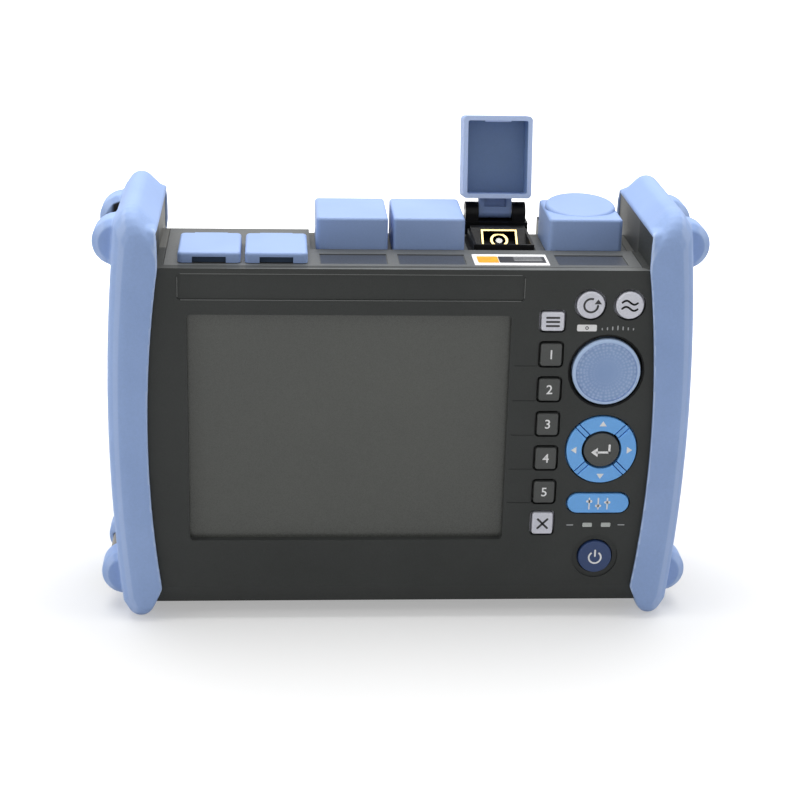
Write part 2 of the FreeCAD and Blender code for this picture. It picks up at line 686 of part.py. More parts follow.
def quarter(angle, radius, y0, y1, half_gap):
    """A quarter of a disc about the arrow axis, its flat sides set back."""
    reach = radius * 2
    centre = V(PAD_X, y0, ARROW_Z)
    across = half_gap * math.sqrt(2)
    tip = V(PAD_X + across, y0, ARROW_Z)
    corners = [tip, tip + V(reach, 0, reach), tip + V(reach, 0, -reach)]
    wedge = Part.Face(Part.makePolygon(corners + corners[:1])).extrude(V(0, y1 - y0, 0))
    wedge.rotate(centre, V(0, -1, 0), angle)
    return rod_y(PAD_X, ARROW_Z, radius, y0, y1).common(wedge)


def arrow_key(angle):
    half_gap = SPLIT_W / 2 + SPLIT_GAP
    cap = quarter(angle, RING_R, FACE_Y - PROUD, KEY_BACK_Y, half_gap)
    skirt = quarter(angle, WELL_R + SKIRT, KEY_BACK_Y - SKIRT_T, KEY_BACK_Y, half_gap)
    body = fuse(cap, skirt)
    body = cut(body, rod_y(PAD_X, ARROW_Z, RING_IN_R, FACE_Y - 5, FACE_Y + 9))
    front = [e for e in body.Edges if abs(e.CenterOfMass.y - FACE_Y + PROUD) < 1e-6]
    return body.makeFillet(0.4, front)


def enter_key():
    cap = rod_y(PAD_X, ARROW_Z, ENTER_R, FACE_Y - PROUD, MAT_Y - TRAVEL - SKIRT_GAP)
    front = [edge for edge in cap.Edges if abs(edge.CenterOfMass.y - FACE_Y + PROUD) < 1e-6]
    return cap.makeFillet(0.5, front)


def arrow_divider():
    """Four strips between the arrow keys, standing on the key mat."""
    inner = RING_IN_R + 0.2
    strip = box(PAD_X + inner, PAD_X + RING_R, FACE_Y - PROUD + 0.3, MAT_Y,
                ARROW_Z - SPLIT_W / 2, ARROW_Z + SPLIT_W / 2)
    strips = []
    for i in range(4):
        turned = strip.copy()
        turned.rotate(V(PAD_X, 0, ARROW_Z), V(0, -1, 0), 45 + 90 * i)
        strips.append(turned)
    return Part.makeCompound(strips)


def key_mat():
    """Rubber sheet behind the keys, with a frame against the front wall."""
    low = POWER_Z - MAT_LOW_EDGE
    high = ROUND_Z + MAT_TOP_EDGE
    sheet = box(PAD_LEFT, PAD_RIGHT, MAT_Y, MAT_Y + MAT_T, low, high)
    frame = box(PAD_LEFT, PAD_RIGHT, FACE_Y + WALL, MAT_Y + 0.1, low, high)
    frame = cut(frame, box(PAD_LEFT + 0.8, PAD_RIGHT - 0.8, FACE_Y, MAT_Y + 1, low + 1, high - 1))
    sheet = fuse(sheet, frame)
    cup = WELL_R + CUP_T + FIT
    light = [plate_y(PAD_X + s * LED_OFF, LED_Z, LED_W + 0.2, LED_H + 0.2, FACE_Y, FACE_Y + 9, 0.5)
             for s in (-1, 1)]
    return cut(sheet, rod_y(PAD_X, KNOB_Z, cup, FACE_Y, FACE_Y + 12), *light)


def key_board():
    y = MAT_Y + MAT_T
    board = box(PAD_LEFT, PAD_RIGHT, y, y + BOARD_T, POWER_Z - MAT_LOW_EDGE, ROUND_Z + MAT_TOP_EDGE)
    cup = WELL_R + CUP_T + FIT
    x0 = PAD_LEFT + SPACER_W / 2
    spacer = box(x0, x0 + SPACER_W, y + BOARD_T - 0.1, BOARD_Y, *SPACER_Z)
    return cut(fuse(board, spacer), rod_y(PAD_X, KNOB_Z, cup, FACE_Y, FACE_Y + 12))


def led_pipes():
    pipes = []
    for side in (-1, 1):
        pipes.append(plate_y(PAD_X + side * LED_OFF, LED_Z, LED_W, LED_H,
                             FACE_Y, MAT_Y + MAT_T, 0.4))
    return Part.makeCompound(pipes)


def rotary_knob():
    y = FACE_Y - KNOB_PROUD
    disc = rod_y(PAD_X, KNOB_Z, KNOB_R, y, y + KNOB_T)
    front = [e for e in disc.Edges if abs(e.CenterOfMass.y - y) < 1e-6]
    disc = disc.makeFillet(0.8, front)
    dish = rod_y(PAD_X, KNOB_Z, KNOB_R - 1.2, y - 1, y + 0.5)
    socket = rod_y(PAD_X, KNOB_Z, SHAFT_R, y + SHAFT_SEAT, y + KNOB_T + 1)
    return cut(disc, dish, socket)


def encoder_shaft():
    y0 = FACE_Y - KNOB_PROUD + SHAFT_SEAT
    return rod_y(PAD_X, KNOB_Z, SHAFT_R, y0, FACE_Y + WELL_DEEP + SHAFT_TAIL)


def encoder_plunger():
    y = FACE_Y + WELL_DEEP + SHAFT_TAIL + 0.1
    return rod_y(PAD_X, KNOB_Z, SHAFT_R, y, y + PLUNGER_T)


def encoder_housing():
    y0 = FACE_Y + WELL_DEEP + CUP_T
    half = ENCODER_HALF
    body = box(PAD_X - half, PAD_X + half, y0, BOARD_Y, KNOB_Z - half, KNOB_Z + half)
    return cut(body, rod_y(PAD_X, KNOB_Z, SHAFT_R + RUN, y0 - 1, BOARD_Y - 0.5))


# ---- ports and covers --------------------------------------------------------
def tilted(shape):
    """Turn a shape drawn upright over the origin into a port's place."""
    shape.rotate(V(0, 0, 0), V(1, 0, 0), PORT_TILT)
    shape.translate(V(0, PORT_Y, PORT_Z))
    return shape


def deck(x, half):
    """Slope behind the well, square to the adapter's axis."""
    rise = math.tan(math.radians(PORT_TILT))
    foot_z = WELL_Z - 0.2
    face_z = PORT_Z - PORT_PROUD / math.cos(math.radians(PORT_TILT))
    foot_y = PORT_Y - (face_z - foot_z) / rise
    top_y = PORT_Y + (DECK_Z - face_z) / rise
    points = [(foot_y, foot_z), (top_y, DECK_Z), (WELL_Y1 + 0.5, DECK_Z), (WELL_Y1 + 0.5, foot_z)]
    return polygon_x(points, x - half, x + half)


def port_block(x, width, case, panel):
    """Black well moulding with the tilted deck and the two hinge lugs of one tall cover."""
    floor_z = PANEL_Z - STEP_DROP
    outer = width / 2 - COVER_T - COLLAR_GAP
    half = outer - COLLAR_T
    flange = port_flange(x, width, 0, WELL_Z - WELL_T, floor_z)
    collar = box(x - outer, x + outer, COLLAR_Y0, WELL_Y1 + 0.7, floor_z - 1, floor_z + COLLAR_H)
    pocket_floor = box(x - outer, x + outer, PORT_Y - 3, WELL_Y1, WELL_Z - 2 * WELL_T, WELL_Z)
    seat = box(x - width / 2 + 0.8, x + width / 2 - 0.8, TALL_Y1 + 0.4, TALL_HINGE_Y + LUG_R,
               PANEL_Z - SLOPE_DROP - 2, TALL_HINGE_Z - BARREL - 0.6)
    span = TONGUE_W / 2 + LUG_GAP
    web = box(x - span, x + span, TALL_HINGE_Y + LUG_R - WEB_T, TALL_HINGE_Y + LUG_R,
              TALL_HINGE_Z - BARREL - 1, TALL_HINGE_Z)
    solids = [flange, collar, pocket_floor, seat, web, block_link(x, 0)]
    for side in (-1, 1):
        x0 = x + span if side > 0 else x - span - LUG_W
        solids.append(box(x0, x0 + LUG_W, TALL_HINGE_Y - LUG_R, TALL_HINGE_Y + LUG_R,
                          TALL_HINGE_Z - 7, TALL_HINGE_Z))
        solids.append(rod_x(TALL_HINGE_Y, TALL_HINGE_Z, LUG_R, x0, x0 + LUG_W))
    block = cut(fuse(*solids), box(x - half, x + half, WELL_Y0, WELL_Y1, WELL_Z, CHEEK_TOP_Z))
    block = fuse(block, deck(x, half + 0.2))
    hole = SOCKET_W / 2 + FIT
    pocket = tilted(box(x - hole, x + hole, -hole, hole, -PORT_PROUD - PORT_DEEP, PORT_PROUD))
    reach = span + LUG_W
    bore = rod_x(TALL_HINGE_Y, TALL_HINGE_Z, PIN_R, x - reach, x + reach)
    return cut(block, pocket, bore, case, panel)


def port_adapter(x):
    """Square metal housing with the sleeve that takes a plug's ferrule."""
    half = SOCKET_W / 2
    inner = half - SOCKET_T
    low = -PORT_PROUD - PORT_DEEP + FIT
    tube = box(x - half, x + half, -half, half, low, 0)
    room = box(x - inner, x + inner, -inner, inner, low + SOCKET_T, 1)
    sleeve = rod_z(x, SLEEVE_UP, SLEEVE_R, low + 0.5, -PORT_PROUD)
    bore = rod_z(x, SLEEVE_UP, SLEEVE_R - SLEEVE_T, low + SOCKET_T, 1)
    seat = rod_z(x, SLEEVE_UP, FERRULE_R, low - 1, 1)
    return tilted(cut(fuse(cut(tube, room), cut(sleeve, bore)), seat))


def ferrule(x):
    low = FIT - PORT_PROUD - PORT_DEEP
    return tilted(rod_z(x, SLEEVE_UP, FERRULE_R, low, -PORT_PROUD - 0.3))


def boss(x):
    """Round boss that rises to the rear, as wide as its cover."""
    middle = TALL_Y1 - BOSS_BACK - BOSS_R
    dome = rod_z(x, middle, BOSS_R, TALL_TOP_Z - 2, TALL_TOP_Z + BOSS_H)
    dome.rotate(V(x, middle, TALL_TOP_Z), V(1, 0, 0), BOSS_TILT)
    rim = [e for e in dome.Edges if e.CenterOfMass.z > TALL_TOP_Z + 1 and len(e.Vertexes) == 1]
    return dome.makeFillet(1.4, rim)


def tall_cover(x, width, with_boss):
    """Deep dust cover, drawn closed, with its tongue round the hinge pin."""
    low = PANEL_Z - STEP_DROP + FIT
    shell = box(x - width / 2, x + width / 2, TALL_Y0, TALL_Y1, low, TALL_TOP_Z)
    shell = round_along(shell, V(0, 0, 1), 1.6)
    top = [e for e in shell.Edges if abs(e.CenterOfMass.z - TALL_TOP_Z) < 1e-6]
    shell = shell.makeFillet(TOP_EDGE_R, top)
    if with_boss:
        shell = fuse(shell, boss(x))
    room = box(x - width / 2 + COVER_T, x + width / 2 - COVER_T, TALL_Y0 + COVER_T,
               TALL_Y1 - COVER_T, low - 1, TALL_TOP_Z - COVER_T)
    shell = cut(shell, round_along(room, V(0, 0, 1), 0.8))
    half = TONGUE_W / 2
    tongue = box(x - half, x + half, TALL_Y1 - 0.5, TALL_HINGE_Y, TALL_HINGE_Z - BARREL,
                 TALL_HINGE_Z + BARREL)
    barrel = rod_x(TALL_HINGE_Y, TALL_HINGE_Z, BARREL, x - half, x + half)
    pocket = box(x - half + TONGUE_RIM, x + half - TONGUE_RIM, TALL_Y1 + 0.6, TALL_HINGE_Y - BARREL,
                 TALL_HINGE_Z - BARREL - 1, TALL_HINGE_Z + BARREL - 1.4)
    latch = box(x - 5, x + 5, TALL_Y0 + COVER_T - 0.1, TALL_Y0 + COVER_T + 0.5, low + 0.6, low + 1.8)
    shell = fuse(shell, cut(fuse(tongue, barrel), pocket), latch)
    return cut(shell, rod_x(TALL_HINGE_Y, TALL_HINGE_Z, PIN_R + RUN, x - half - 1, x + half + 1))


def opened(cover):
    turned = cover.copy()
    turned.rotate(V(0, TALL_HINGE_Y, TALL_HINGE_Z), V(1, 0, 0), -OPEN_ANGLE)
    return turned


def rear_reach():
    """How far to the rear the rounded edge of the open cover reaches."""
    turn = math.radians(OPEN_ANGLE)
    arm = TALL_HINGE_Y - TALL_Y0 - TOP_EDGE_R
    rise = TALL_TOP_Z - TALL_HINGE_Z - TOP_EDGE_R
    return TALL_HINGE_Y - arm * math.cos(turn) + rise * math.sin(turn) + TOP_EDGE_R


def low_cover(x):
    low = PANEL_Z + FIT
    top_z = PANEL_Z + LOW_H
    shell = box(x - LOW_W / 2, x + LOW_W / 2, LOW_Y0, LOW_Y1, low, top_z)
    shell = round_along(shell, V(0, 0, 1), 1.8)
    top = [e for e in shell.Edges if abs(e.CenterOfMass.z - top_z) < 1e-6]
    shell = shell.makeFillet(1.1, top)
    room = box(x - LOW_W / 2 + COVER_T, x + LOW_W / 2 - COVER_T, LOW_Y0 + COVER_T,
               LOW_Y1 - COVER_T, low - 1, top_z - 1.5)
    notch = box(x - 6, x + 6, LOW_Y0 - 1, LOW_Y0 + 1.2, low - 1, low + 2.2)
    half = LOW_TONGUE_W / 2
    tongue = box(x - half, x + half, LOW_Y1 - 0.5, LOW_HINGE_Y, LOW_HINGE_Z - 1.2, LOW_HINGE_Z + 1.2)
    barrel = rod_x(LOW_HINGE_Y, LOW_HINGE_Z, LOW_BARREL_R, x - half, x + half)
    shell = fuse(cut(shell, room, notch), tongue, barrel)
    return cut(shell, rod_x(LOW_HINGE_Y, LOW_HINGE_Z, LOW_PIN_R + RUN, x - half - 1, x + half + 1))


def cover_pins():
    pins = []
    for x in TALL_X:
        reach = TONGUE_W / 2 + LUG_GAP + LUG_W
        pins.append(rod_x(TALL_HINGE_Y, TALL_HINGE_Z, PIN_R, x - reach, x + reach))
    for x in LOW_X:
        reach = LOW_TONGUE_W / 2 + LUG_GAP + LOW_LUG_W
        pins.append(rod_x(LOW_HINGE_Y, LOW_HINGE_Z, LOW_PIN_R, x - reach, x + reach))
    return Part.makeCompound(pins)


def data_jack(x):
    """Shielded socket under a low cover, its mouth facing up."""
    y0 = JACK_Y0 + FIT
    y1 = JACK_Y1 - FIT
    half = JACK_W / 2
    shell = box(x - half, x + half, y0, y1, JACK_Z, PANEL_Z - 0.6)
    mouth = box(x - half + 1.2, x + half - 1.2, y0 + 1.4, y1 - 1.4, JACK_Z + 2, PANEL_Z)
    tip = JACK_Z + 0.65 * (PANEL_Z - JACK_Z)
    tongue = box(x - half + 3, x + half - 3, y0 + 1.3, y0 + 2.6, JACK_Z + 1.9, tip)
    return fuse(cut(shell, mouth), tongue)


# ---- inner modules and rear --------------------------------------------------
def optical_module():
    y0 = BOARD_Y + BOARD_T
    x0, x1 = MODULE_X
    block = box(x0, x1, y0 + MODULE_GAP, POCKET_Y - POCKET_WALL, MODULE_LOW_Z, MODULE_TOP_Z)
    foot = box(x0 + FOOT_INSET, x1 - FOOT_INSET, y0, y0 + MODULE_GAP + 0.1, *FOOT_Z)
    return fuse(block, foot)


def battery_pack():
    y0 = POCKET_Y
    block = box(-BATTERY_W / 2, BATTERY_W / 2, y0, y0 + BATTERY_T,
                BATTERY_Z - BATTERY_H / 2, BATTERY_Z + BATTERY_H / 2)
    return round_along(block, V(1, 0, 0), 2.0)


def battery_cover():
    door = plate_y(0, BATTERY_Z, BATTERY_W + 2 * DOOR_EDGE, BATTERY_H + 2 * DOOR_EDGE,
                   BACK_Y - DOOR_T, BACK_Y, 3)
    grips = []
    for i in range(5):
        z = BATTERY_Z + BATTERY_H / 2 - 2 - i * 2.2
        grips.append(box(-14, 14, BACK_Y - 0.6, BACK_Y + 1, z, z + 1.0))
    return cut(door, *grips)


def case_screws():
    screws = []
    for x, z in POST_AT:
        shank = rod_y(x, z, SCREW_R - 0.2, FACE_Y + WALL + 3, BACK_Y - 8)
        head = rod_y(x, z, SCREW_HEAD_R, BACK_Y - 8, BACK_Y - 5.6)
        socket = rod_y(x, z, 1.3, BACK_Y - 7.2, BACK_Y)
        screws.append(cut(fuse(shank, head), socket))
    return Part.makeCompound(screws)


def tilt_stand():
    """Flat leg in the back; it swings out about its upper edge."""
    pin_y = BACK_Y - STAND_T / 2
    half = STAND_W / 2
    low = STAND_HINGE_Z - STAND_H
    leg = box(-half, half, BACK_Y - STAND_T, BACK_Y, low, STAND_HINGE_Z)
    leg = round_along(leg, V(0, 1, 0), 6.0, lambda p: p.z < low + 1)
    barrel = rod_x(pin_y, STAND_HINGE_Z, STAND_T / 2, -half, half)
    pad = box(-half + 12, half - 12, BACK_Y - 1.2, BACK_Y + 1, low + 8, STAND_HINGE_Z - 8)
    grip = box(-12, 12, BACK_Y - STAND_T - 1, BACK_Y - 2.5, low - 1, low + 3)
    leg = cut(fuse(leg, barrel), pad, grip)
    return cut(leg, rod_x(pin_y, STAND_HINGE_Z, STAND_PIN_R + RUN, -half - 1, half + 1))


def stand_pins():
    pin_y = BACK_Y - STAND_T / 2
    reach = STAND_W / 2 + STAND_GAP + 5
    pins = []
    for side in (-1, 1):
        x0 = reach - 14 if side > 0 else -reach
        pins.append(rod_x(pin_y, STAND_HINGE_Z, STAND_PIN_R, x0, x0 + 14))
    return Part.makeCompound(pins)


def build():
    case = case_body()
    panel = connector_panel()
    right = finished_protector(case)
    socket = cut(case, panel_opening(), *[block_link(x, FIT) for x in TALL_X])
    nodes = {
        "front_case": front_case(), "rear_case": rear_case(), "connector_panel": panel,
        "protector_right": right, "protector_left": mirror_x(right), "strap_bars": strap_bars(),
        "display_window": display_window(), "lcd_module": lcd_module(), "main_board": main_board(),
        "key_mat": key_mat(), "key_board": key_board(), "led_pipes": led_pipes(),
        "arrow_divider": arrow_divider(), "key_enter": enter_key(),
        "rotary_knob": rotary_knob(), "encoder_shaft": encoder_shaft(),
        "encoder_plunger": encoder_plunger(), "encoder_housing": encoder_housing(),
        "port_adapters": Part.makeCompound([port_adapter(x) for x in TALL_X]),
        "port_ferrules": Part.makeCompound([ferrule(x) for x in TALL_X]),
        "cover_pins": cover_pins(), "lan_jack": data_jack(LOW_X[0]), "usb_jack": data_jack(LOW_X[1]),
        "optical_module": optical_module(), "battery_pack": battery_pack(),
        "battery_cover": battery_cover(), "case_screws": case_screws(),
        "tilt_stand": tilt_stand(), "stand_pins": stand_pins(),
    }
    for name, kind, x, z, a, b in key_places():
        nodes["key_" + name] = plain_key(kind, x, z, a, b)
    for i, name in enumerate(("right", "up", "left", "down")):
        nodes["arrow_" + name] = arrow_key(90 * i)
    for i, x in enumerate(LOW_X):
        nodes[f"low_cover_{i + 1}"] = low_cover(x)
    for i, (x, width) in enumerate(zip(TALL_X, TALL_W)):
        nodes[f"port_block_{i + 1}"] = port_block(x, width, socket, panel)
        cover = tall_cover(x, width, i == len(TALL_X) - 1)
        nodes[f"tall_cover_{i + 1}"] = opened(cover) if i == OPEN_ONE else cover
    return nodes


middle_y = (FRONT_Y + max(rear_reach(), BODY_D / 2)) / 2
for node, shape in build().items():
    shape.translate(V(0, -middle_y, 0))
    if not shape.isValid():
        print("not valid:", node)
    shape.exportStep(f"parts/{node}.step")
    print(f"{node:18s} solids {len(shape.Solids)}  volume {shape.Volume / 1000:8.2f} cm3")
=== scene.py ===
import json
import math

import bmesh
import bpy
import numpy as np
from mathutils import Matrix, Vector


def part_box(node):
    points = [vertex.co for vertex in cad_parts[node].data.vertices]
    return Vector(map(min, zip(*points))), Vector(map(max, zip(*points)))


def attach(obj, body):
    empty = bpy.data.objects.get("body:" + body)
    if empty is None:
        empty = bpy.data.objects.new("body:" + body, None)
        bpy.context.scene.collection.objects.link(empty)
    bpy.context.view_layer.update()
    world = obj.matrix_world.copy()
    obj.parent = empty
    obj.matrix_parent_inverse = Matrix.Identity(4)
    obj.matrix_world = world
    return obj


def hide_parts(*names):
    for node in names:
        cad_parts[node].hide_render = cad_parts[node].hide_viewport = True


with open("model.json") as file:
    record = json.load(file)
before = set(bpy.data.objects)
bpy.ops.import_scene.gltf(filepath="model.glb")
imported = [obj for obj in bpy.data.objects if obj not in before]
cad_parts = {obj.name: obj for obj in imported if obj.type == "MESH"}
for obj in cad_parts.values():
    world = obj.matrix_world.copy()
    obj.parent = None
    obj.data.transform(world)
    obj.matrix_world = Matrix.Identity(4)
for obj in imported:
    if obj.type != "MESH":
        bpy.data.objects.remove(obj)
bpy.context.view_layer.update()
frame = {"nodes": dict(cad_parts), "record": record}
nodes = frame["nodes"]

MM = 0.001                # lengths are in millimetres unless a comment says metres


# ------------------------------------------------- places read from the model

def corners(name):
    """Lowest and highest corner of a node, in millimetres."""
    low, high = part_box(name)
    return low / MM, high / MM


def front_middle(name):
    """Middle of a node seen from the front, as x and z to a hundredth."""
    low, high = corners(name)
    return round((low.x + high.x) / 2, 2), round((low.z + high.z) / 2, 2)


FACE = corners("front_case")[0].y         # front plane of the case
KEY_FACE = corners("key_enter")[0].y      # front of the keys
guard_low, guard_high = corners("protector_right")
GUARD_IN = round(guard_low.x, 2)          # inner side of the protectors
MIDDLE = (guard_low.y + guard_high.y) / 2     # middle of the protectors, front to rear
knob_low, knob_high = corners("rotary_knob")
KNOB_AT = (knob_low + knob_high) / 2
KNOB_R = (knob_high.x - knob_low.x) / 2
COVERS = []                               # middle and width of each tall cover
for number in range(1, 5):
    low, high = corners(f"tall_cover_{number}")
    COVERS.append(((low.x + high.x) / 2, high.x - low.x))
COVER_GAP = 0.2           # gap under the low covers
LEDGE = corners("low_cover_1")[0].z - COVER_GAP       # top of the panel
BAR_R = 1.8               # radius of a strap bar
bars_low, bars_high = corners("strap_bars")
EARS_Y = (bars_low.y + bars_high.y) / 2   # middle between the front and rear strap ears
EARS_Z = (bars_low.z + bars_high.z) / 2   # and between the lower and upper ones
EARS_UP = (bars_high.z - bars_low.z) / 2 - BAR_R      # bars' axes above or below that
window_low, window_high = corners("display_window")


# ------------------------------------------------------------ shader helpers

def srgb(r, g, b):
    """Linear colour of an 8-bit display colour."""
    out = []
    for v in (r, g, b):
        v = v / 255
        out.append(v / 12.92 if v <= 0.04045 else ((v + 0.055) / 1.055) ** 2.4)
    return (*out, 1.0)


def new_material(name):
    """A material with its node tree and its shader."""
    m = bpy.data.materials.new(name)
    m.use_nodes = True
    return m, m.node_tree, m.node_tree.nodes["Principled BSDF"]


def add(tree, kind, **settings):
    """A new shader node with some of its settings."""
    node = tree.nodes.new("ShaderNode" + kind)
    for key, value in settings.items():
        setattr(node, key, value)
    return node


def feed(tree, term, socket):
    """Set a socket to a plain value, or join it to the output given as term."""
    if isinstance(term, bpy.types.NodeSocket):
        tree.links.new(term, socket)
    else:
        socket.default_value = term


def maths(tree, operation, first, second, clamp=False):
    """Result of an operation on two numbers or outputs."""
    node = add(tree, "Math", operation=operation, use_clamp=clamp)
    feed(tree, first, node.inputs[0])
    feed(tree, second, node.inputs[1])
    return node.outputs["Value"]


def vector_maths(tree, operation, first, second=None):
    """A node for an operation on one or two vectors."""
    node = add(tree, "VectorMath", operation=operation)
    feed(tree, first, node.inputs[0])
    if second is not None:
        feed(tree, second, node.inputs[1])
    return node


def mapped(tree, source, start, end, low=0.0, high=1.0, curve="LINEAR"):
    """The source stretched so that start..end becomes low..high."""
    node = add(tree, "MapRange", interpolation_type=curve)
    node.inputs["From Min"].default_value = start
    node.inputs["From Max"].default_value = end
    node.inputs["To Min"].default_value = low
    node.inputs["To Max"].default_value = high
    tree.links.new(source, node.inputs["Value"])
    return node.outputs["Result"]


def spread(tree, source, low, high):
    """The middle range of a noise stretched between two values."""
    return mapped(tree, source, 0.3, 0.7, low, high)


def mixed(tree, share, first, second, blend="MIX"):
    """A colour between first and second."""
    node = add(tree, "Mix", data_type="RGBA", blend_type=blend)
    for term, slot in ((share, 0), (first, 6), (second, 7)):
        feed(tree, term, node.inputs[slot])
    return node.outputs[2]


def noise(tree, coords, scale, detail, roughness=0.55):
    """A cloudy noise with scale features in a metre."""
    node = add(tree, "TexNoise")
    node.inputs["Scale"].default_value = scale
    node.inputs["Detail"].default_value = detail
    node.inputs["Roughness"].default_value = roughness
    tree.links.new(coords, node.inputs["Vector"])
    return node.outputs["Fac"]


def bumped(tree, height, strength, distance, shader):
    """Raise a shader's surface by a height, with the distance in metres."""
    node = add(tree, "Bump")
    node.inputs["Strength"].default_value = strength
    node.inputs["Distance"].default_value = distance
    tree.links.new(height, node.inputs["Height"])
    tree.links.new(node.outputs["Normal"], shader.inputs["Normal"])


def colour_of(shader):
    """The output that a shader's colour is read from."""
    return shader.inputs["Base Color"].links[0].from_socket


# ---------------------------------------------------------------- materials

GRAIN_DEEP = 0.00012      # metres
GLOSS_DRIFT = 0.06


def plastic(name, colour, second, rough=0.5, grain=900.0, depth=0.25, cloud=35.0,
            speck=0.0, coat=0.0, metal=0.0, sheen=0.0, specular=0.5):
    """A moulded finish: slow tone drift, fine spark-eroded grain, varied gloss."""
    m, t, shader = new_material(name)
    coords = add(t, "TexCoord").outputs["Object"]
    drift = noise(t, coords, cloud, 4.0)
    fine = noise(t, coords, grain, 2.0, 0.7)
    tone = mixed(t, spread(t, drift, 0.0, 1.0), colour, second)
    if speck:
        tone = mixed(t, 1.0, tone, spread(t, fine, 1.0 - speck, 1.0 + speck), "MULTIPLY")
    t.links.new(tone, shader.inputs["Base Color"])
    gloss = spread(t, fine, rough - GLOSS_DRIFT, rough + GLOSS_DRIFT)
    t.links.new(gloss, shader.inputs["Roughness"])
    bumped(t, fine, depth, GRAIN_DEEP, shader)
    shader.inputs["Metallic"].default_value = metal
    shader.inputs["Specular IOR Level"].default_value = specular
    shader.inputs["Coat Weight"].default_value = coat
    shader.inputs["Coat Roughness"].default_value = 0.15
    shader.inputs["Sheen Weight"].default_value = sheen
    return m


DOTS_ROUND = 40           # dots in each ring of the knob's face
DOT_RINGS = 850.0         # rings in a metre
DOTS_START = 0.003        # metres from the middle where the dots begin to show
DOTS_FULL = 0.011         # and where they are at full strength
DOT_PALE = 0.5            # share of the pale colour in a dot


def dotted(name, colour, second, pale, middle):
    """A soft-touch face with rings of small pale dots that fade out at its middle."""
    m = plastic(name, colour, second, rough=0.45, grain=1400.0, depth=0.1, cloud=60.0)
    t = m.node_tree
    shader = t.nodes["Principled BSDF"]
    coords = add(t, "TexCoord").outputs["Object"]
    offset = vector_maths(t, "SUBTRACT", coords, middle).outputs["Vector"]
    radius = vector_maths(t, "LENGTH", offset).outputs["Value"]
    parts = add(t, "SeparateXYZ")
    t.links.new(offset, parts.inputs["Vector"])
    angle = maths(t, "ARCTAN2", parts.outputs["Z"], parts.outputs["X"])
    rings = add(t, "CombineXYZ")
    t.links.new(maths(t, "MULTIPLY", angle, DOTS_ROUND / (2 * math.pi)), rings.inputs["X"])
    t.links.new(maths(t, "MULTIPLY", radius, DOT_RINGS), rings.inputs["Y"])
    cells = add(t, "TexVoronoi", voronoi_dimensions="2D")
    cells.inputs["Scale"].default_value = 1.0
    cells.inputs["Randomness"].default_value = 0.35
    t.links.new(rings.outputs["Vector"], cells.inputs["Vector"])
    dots = mapped(t, cells.outputs["Distance"], 0.15, 0.5, DOT_PALE, 0.0)
    fade = maths(t, "MULTIPLY", dots, mapped(t, radius, DOTS_START, DOTS_FULL))
    bumped(t, fade, 0.35, 0.0002, shader)
    t.links.new(mixed(t, fade, colour_of(shader), pale), shader.inputs["Base Color"])
    return m


def toned(material, pale, dark):
    """Let the tone of a mesh lead a finish towards a pale painted highlight above zero and a
    dark painted shade below it.
    """
    t = material.node_tree
    shader = t.nodes["Principled BSDF"]
    colour = colour_of(shader)
    tone = add(t, "Attribute", attribute_name="tone").outputs["Fac"]
    for sign, shade in ((1, pale), (-1, dark)):
        colour = mixed(t, maths(t, "MULTIPLY", tone, sign, clamp=True), colour, shade)
    t.links.new(colour, shader.inputs["Base Color"])
    return material


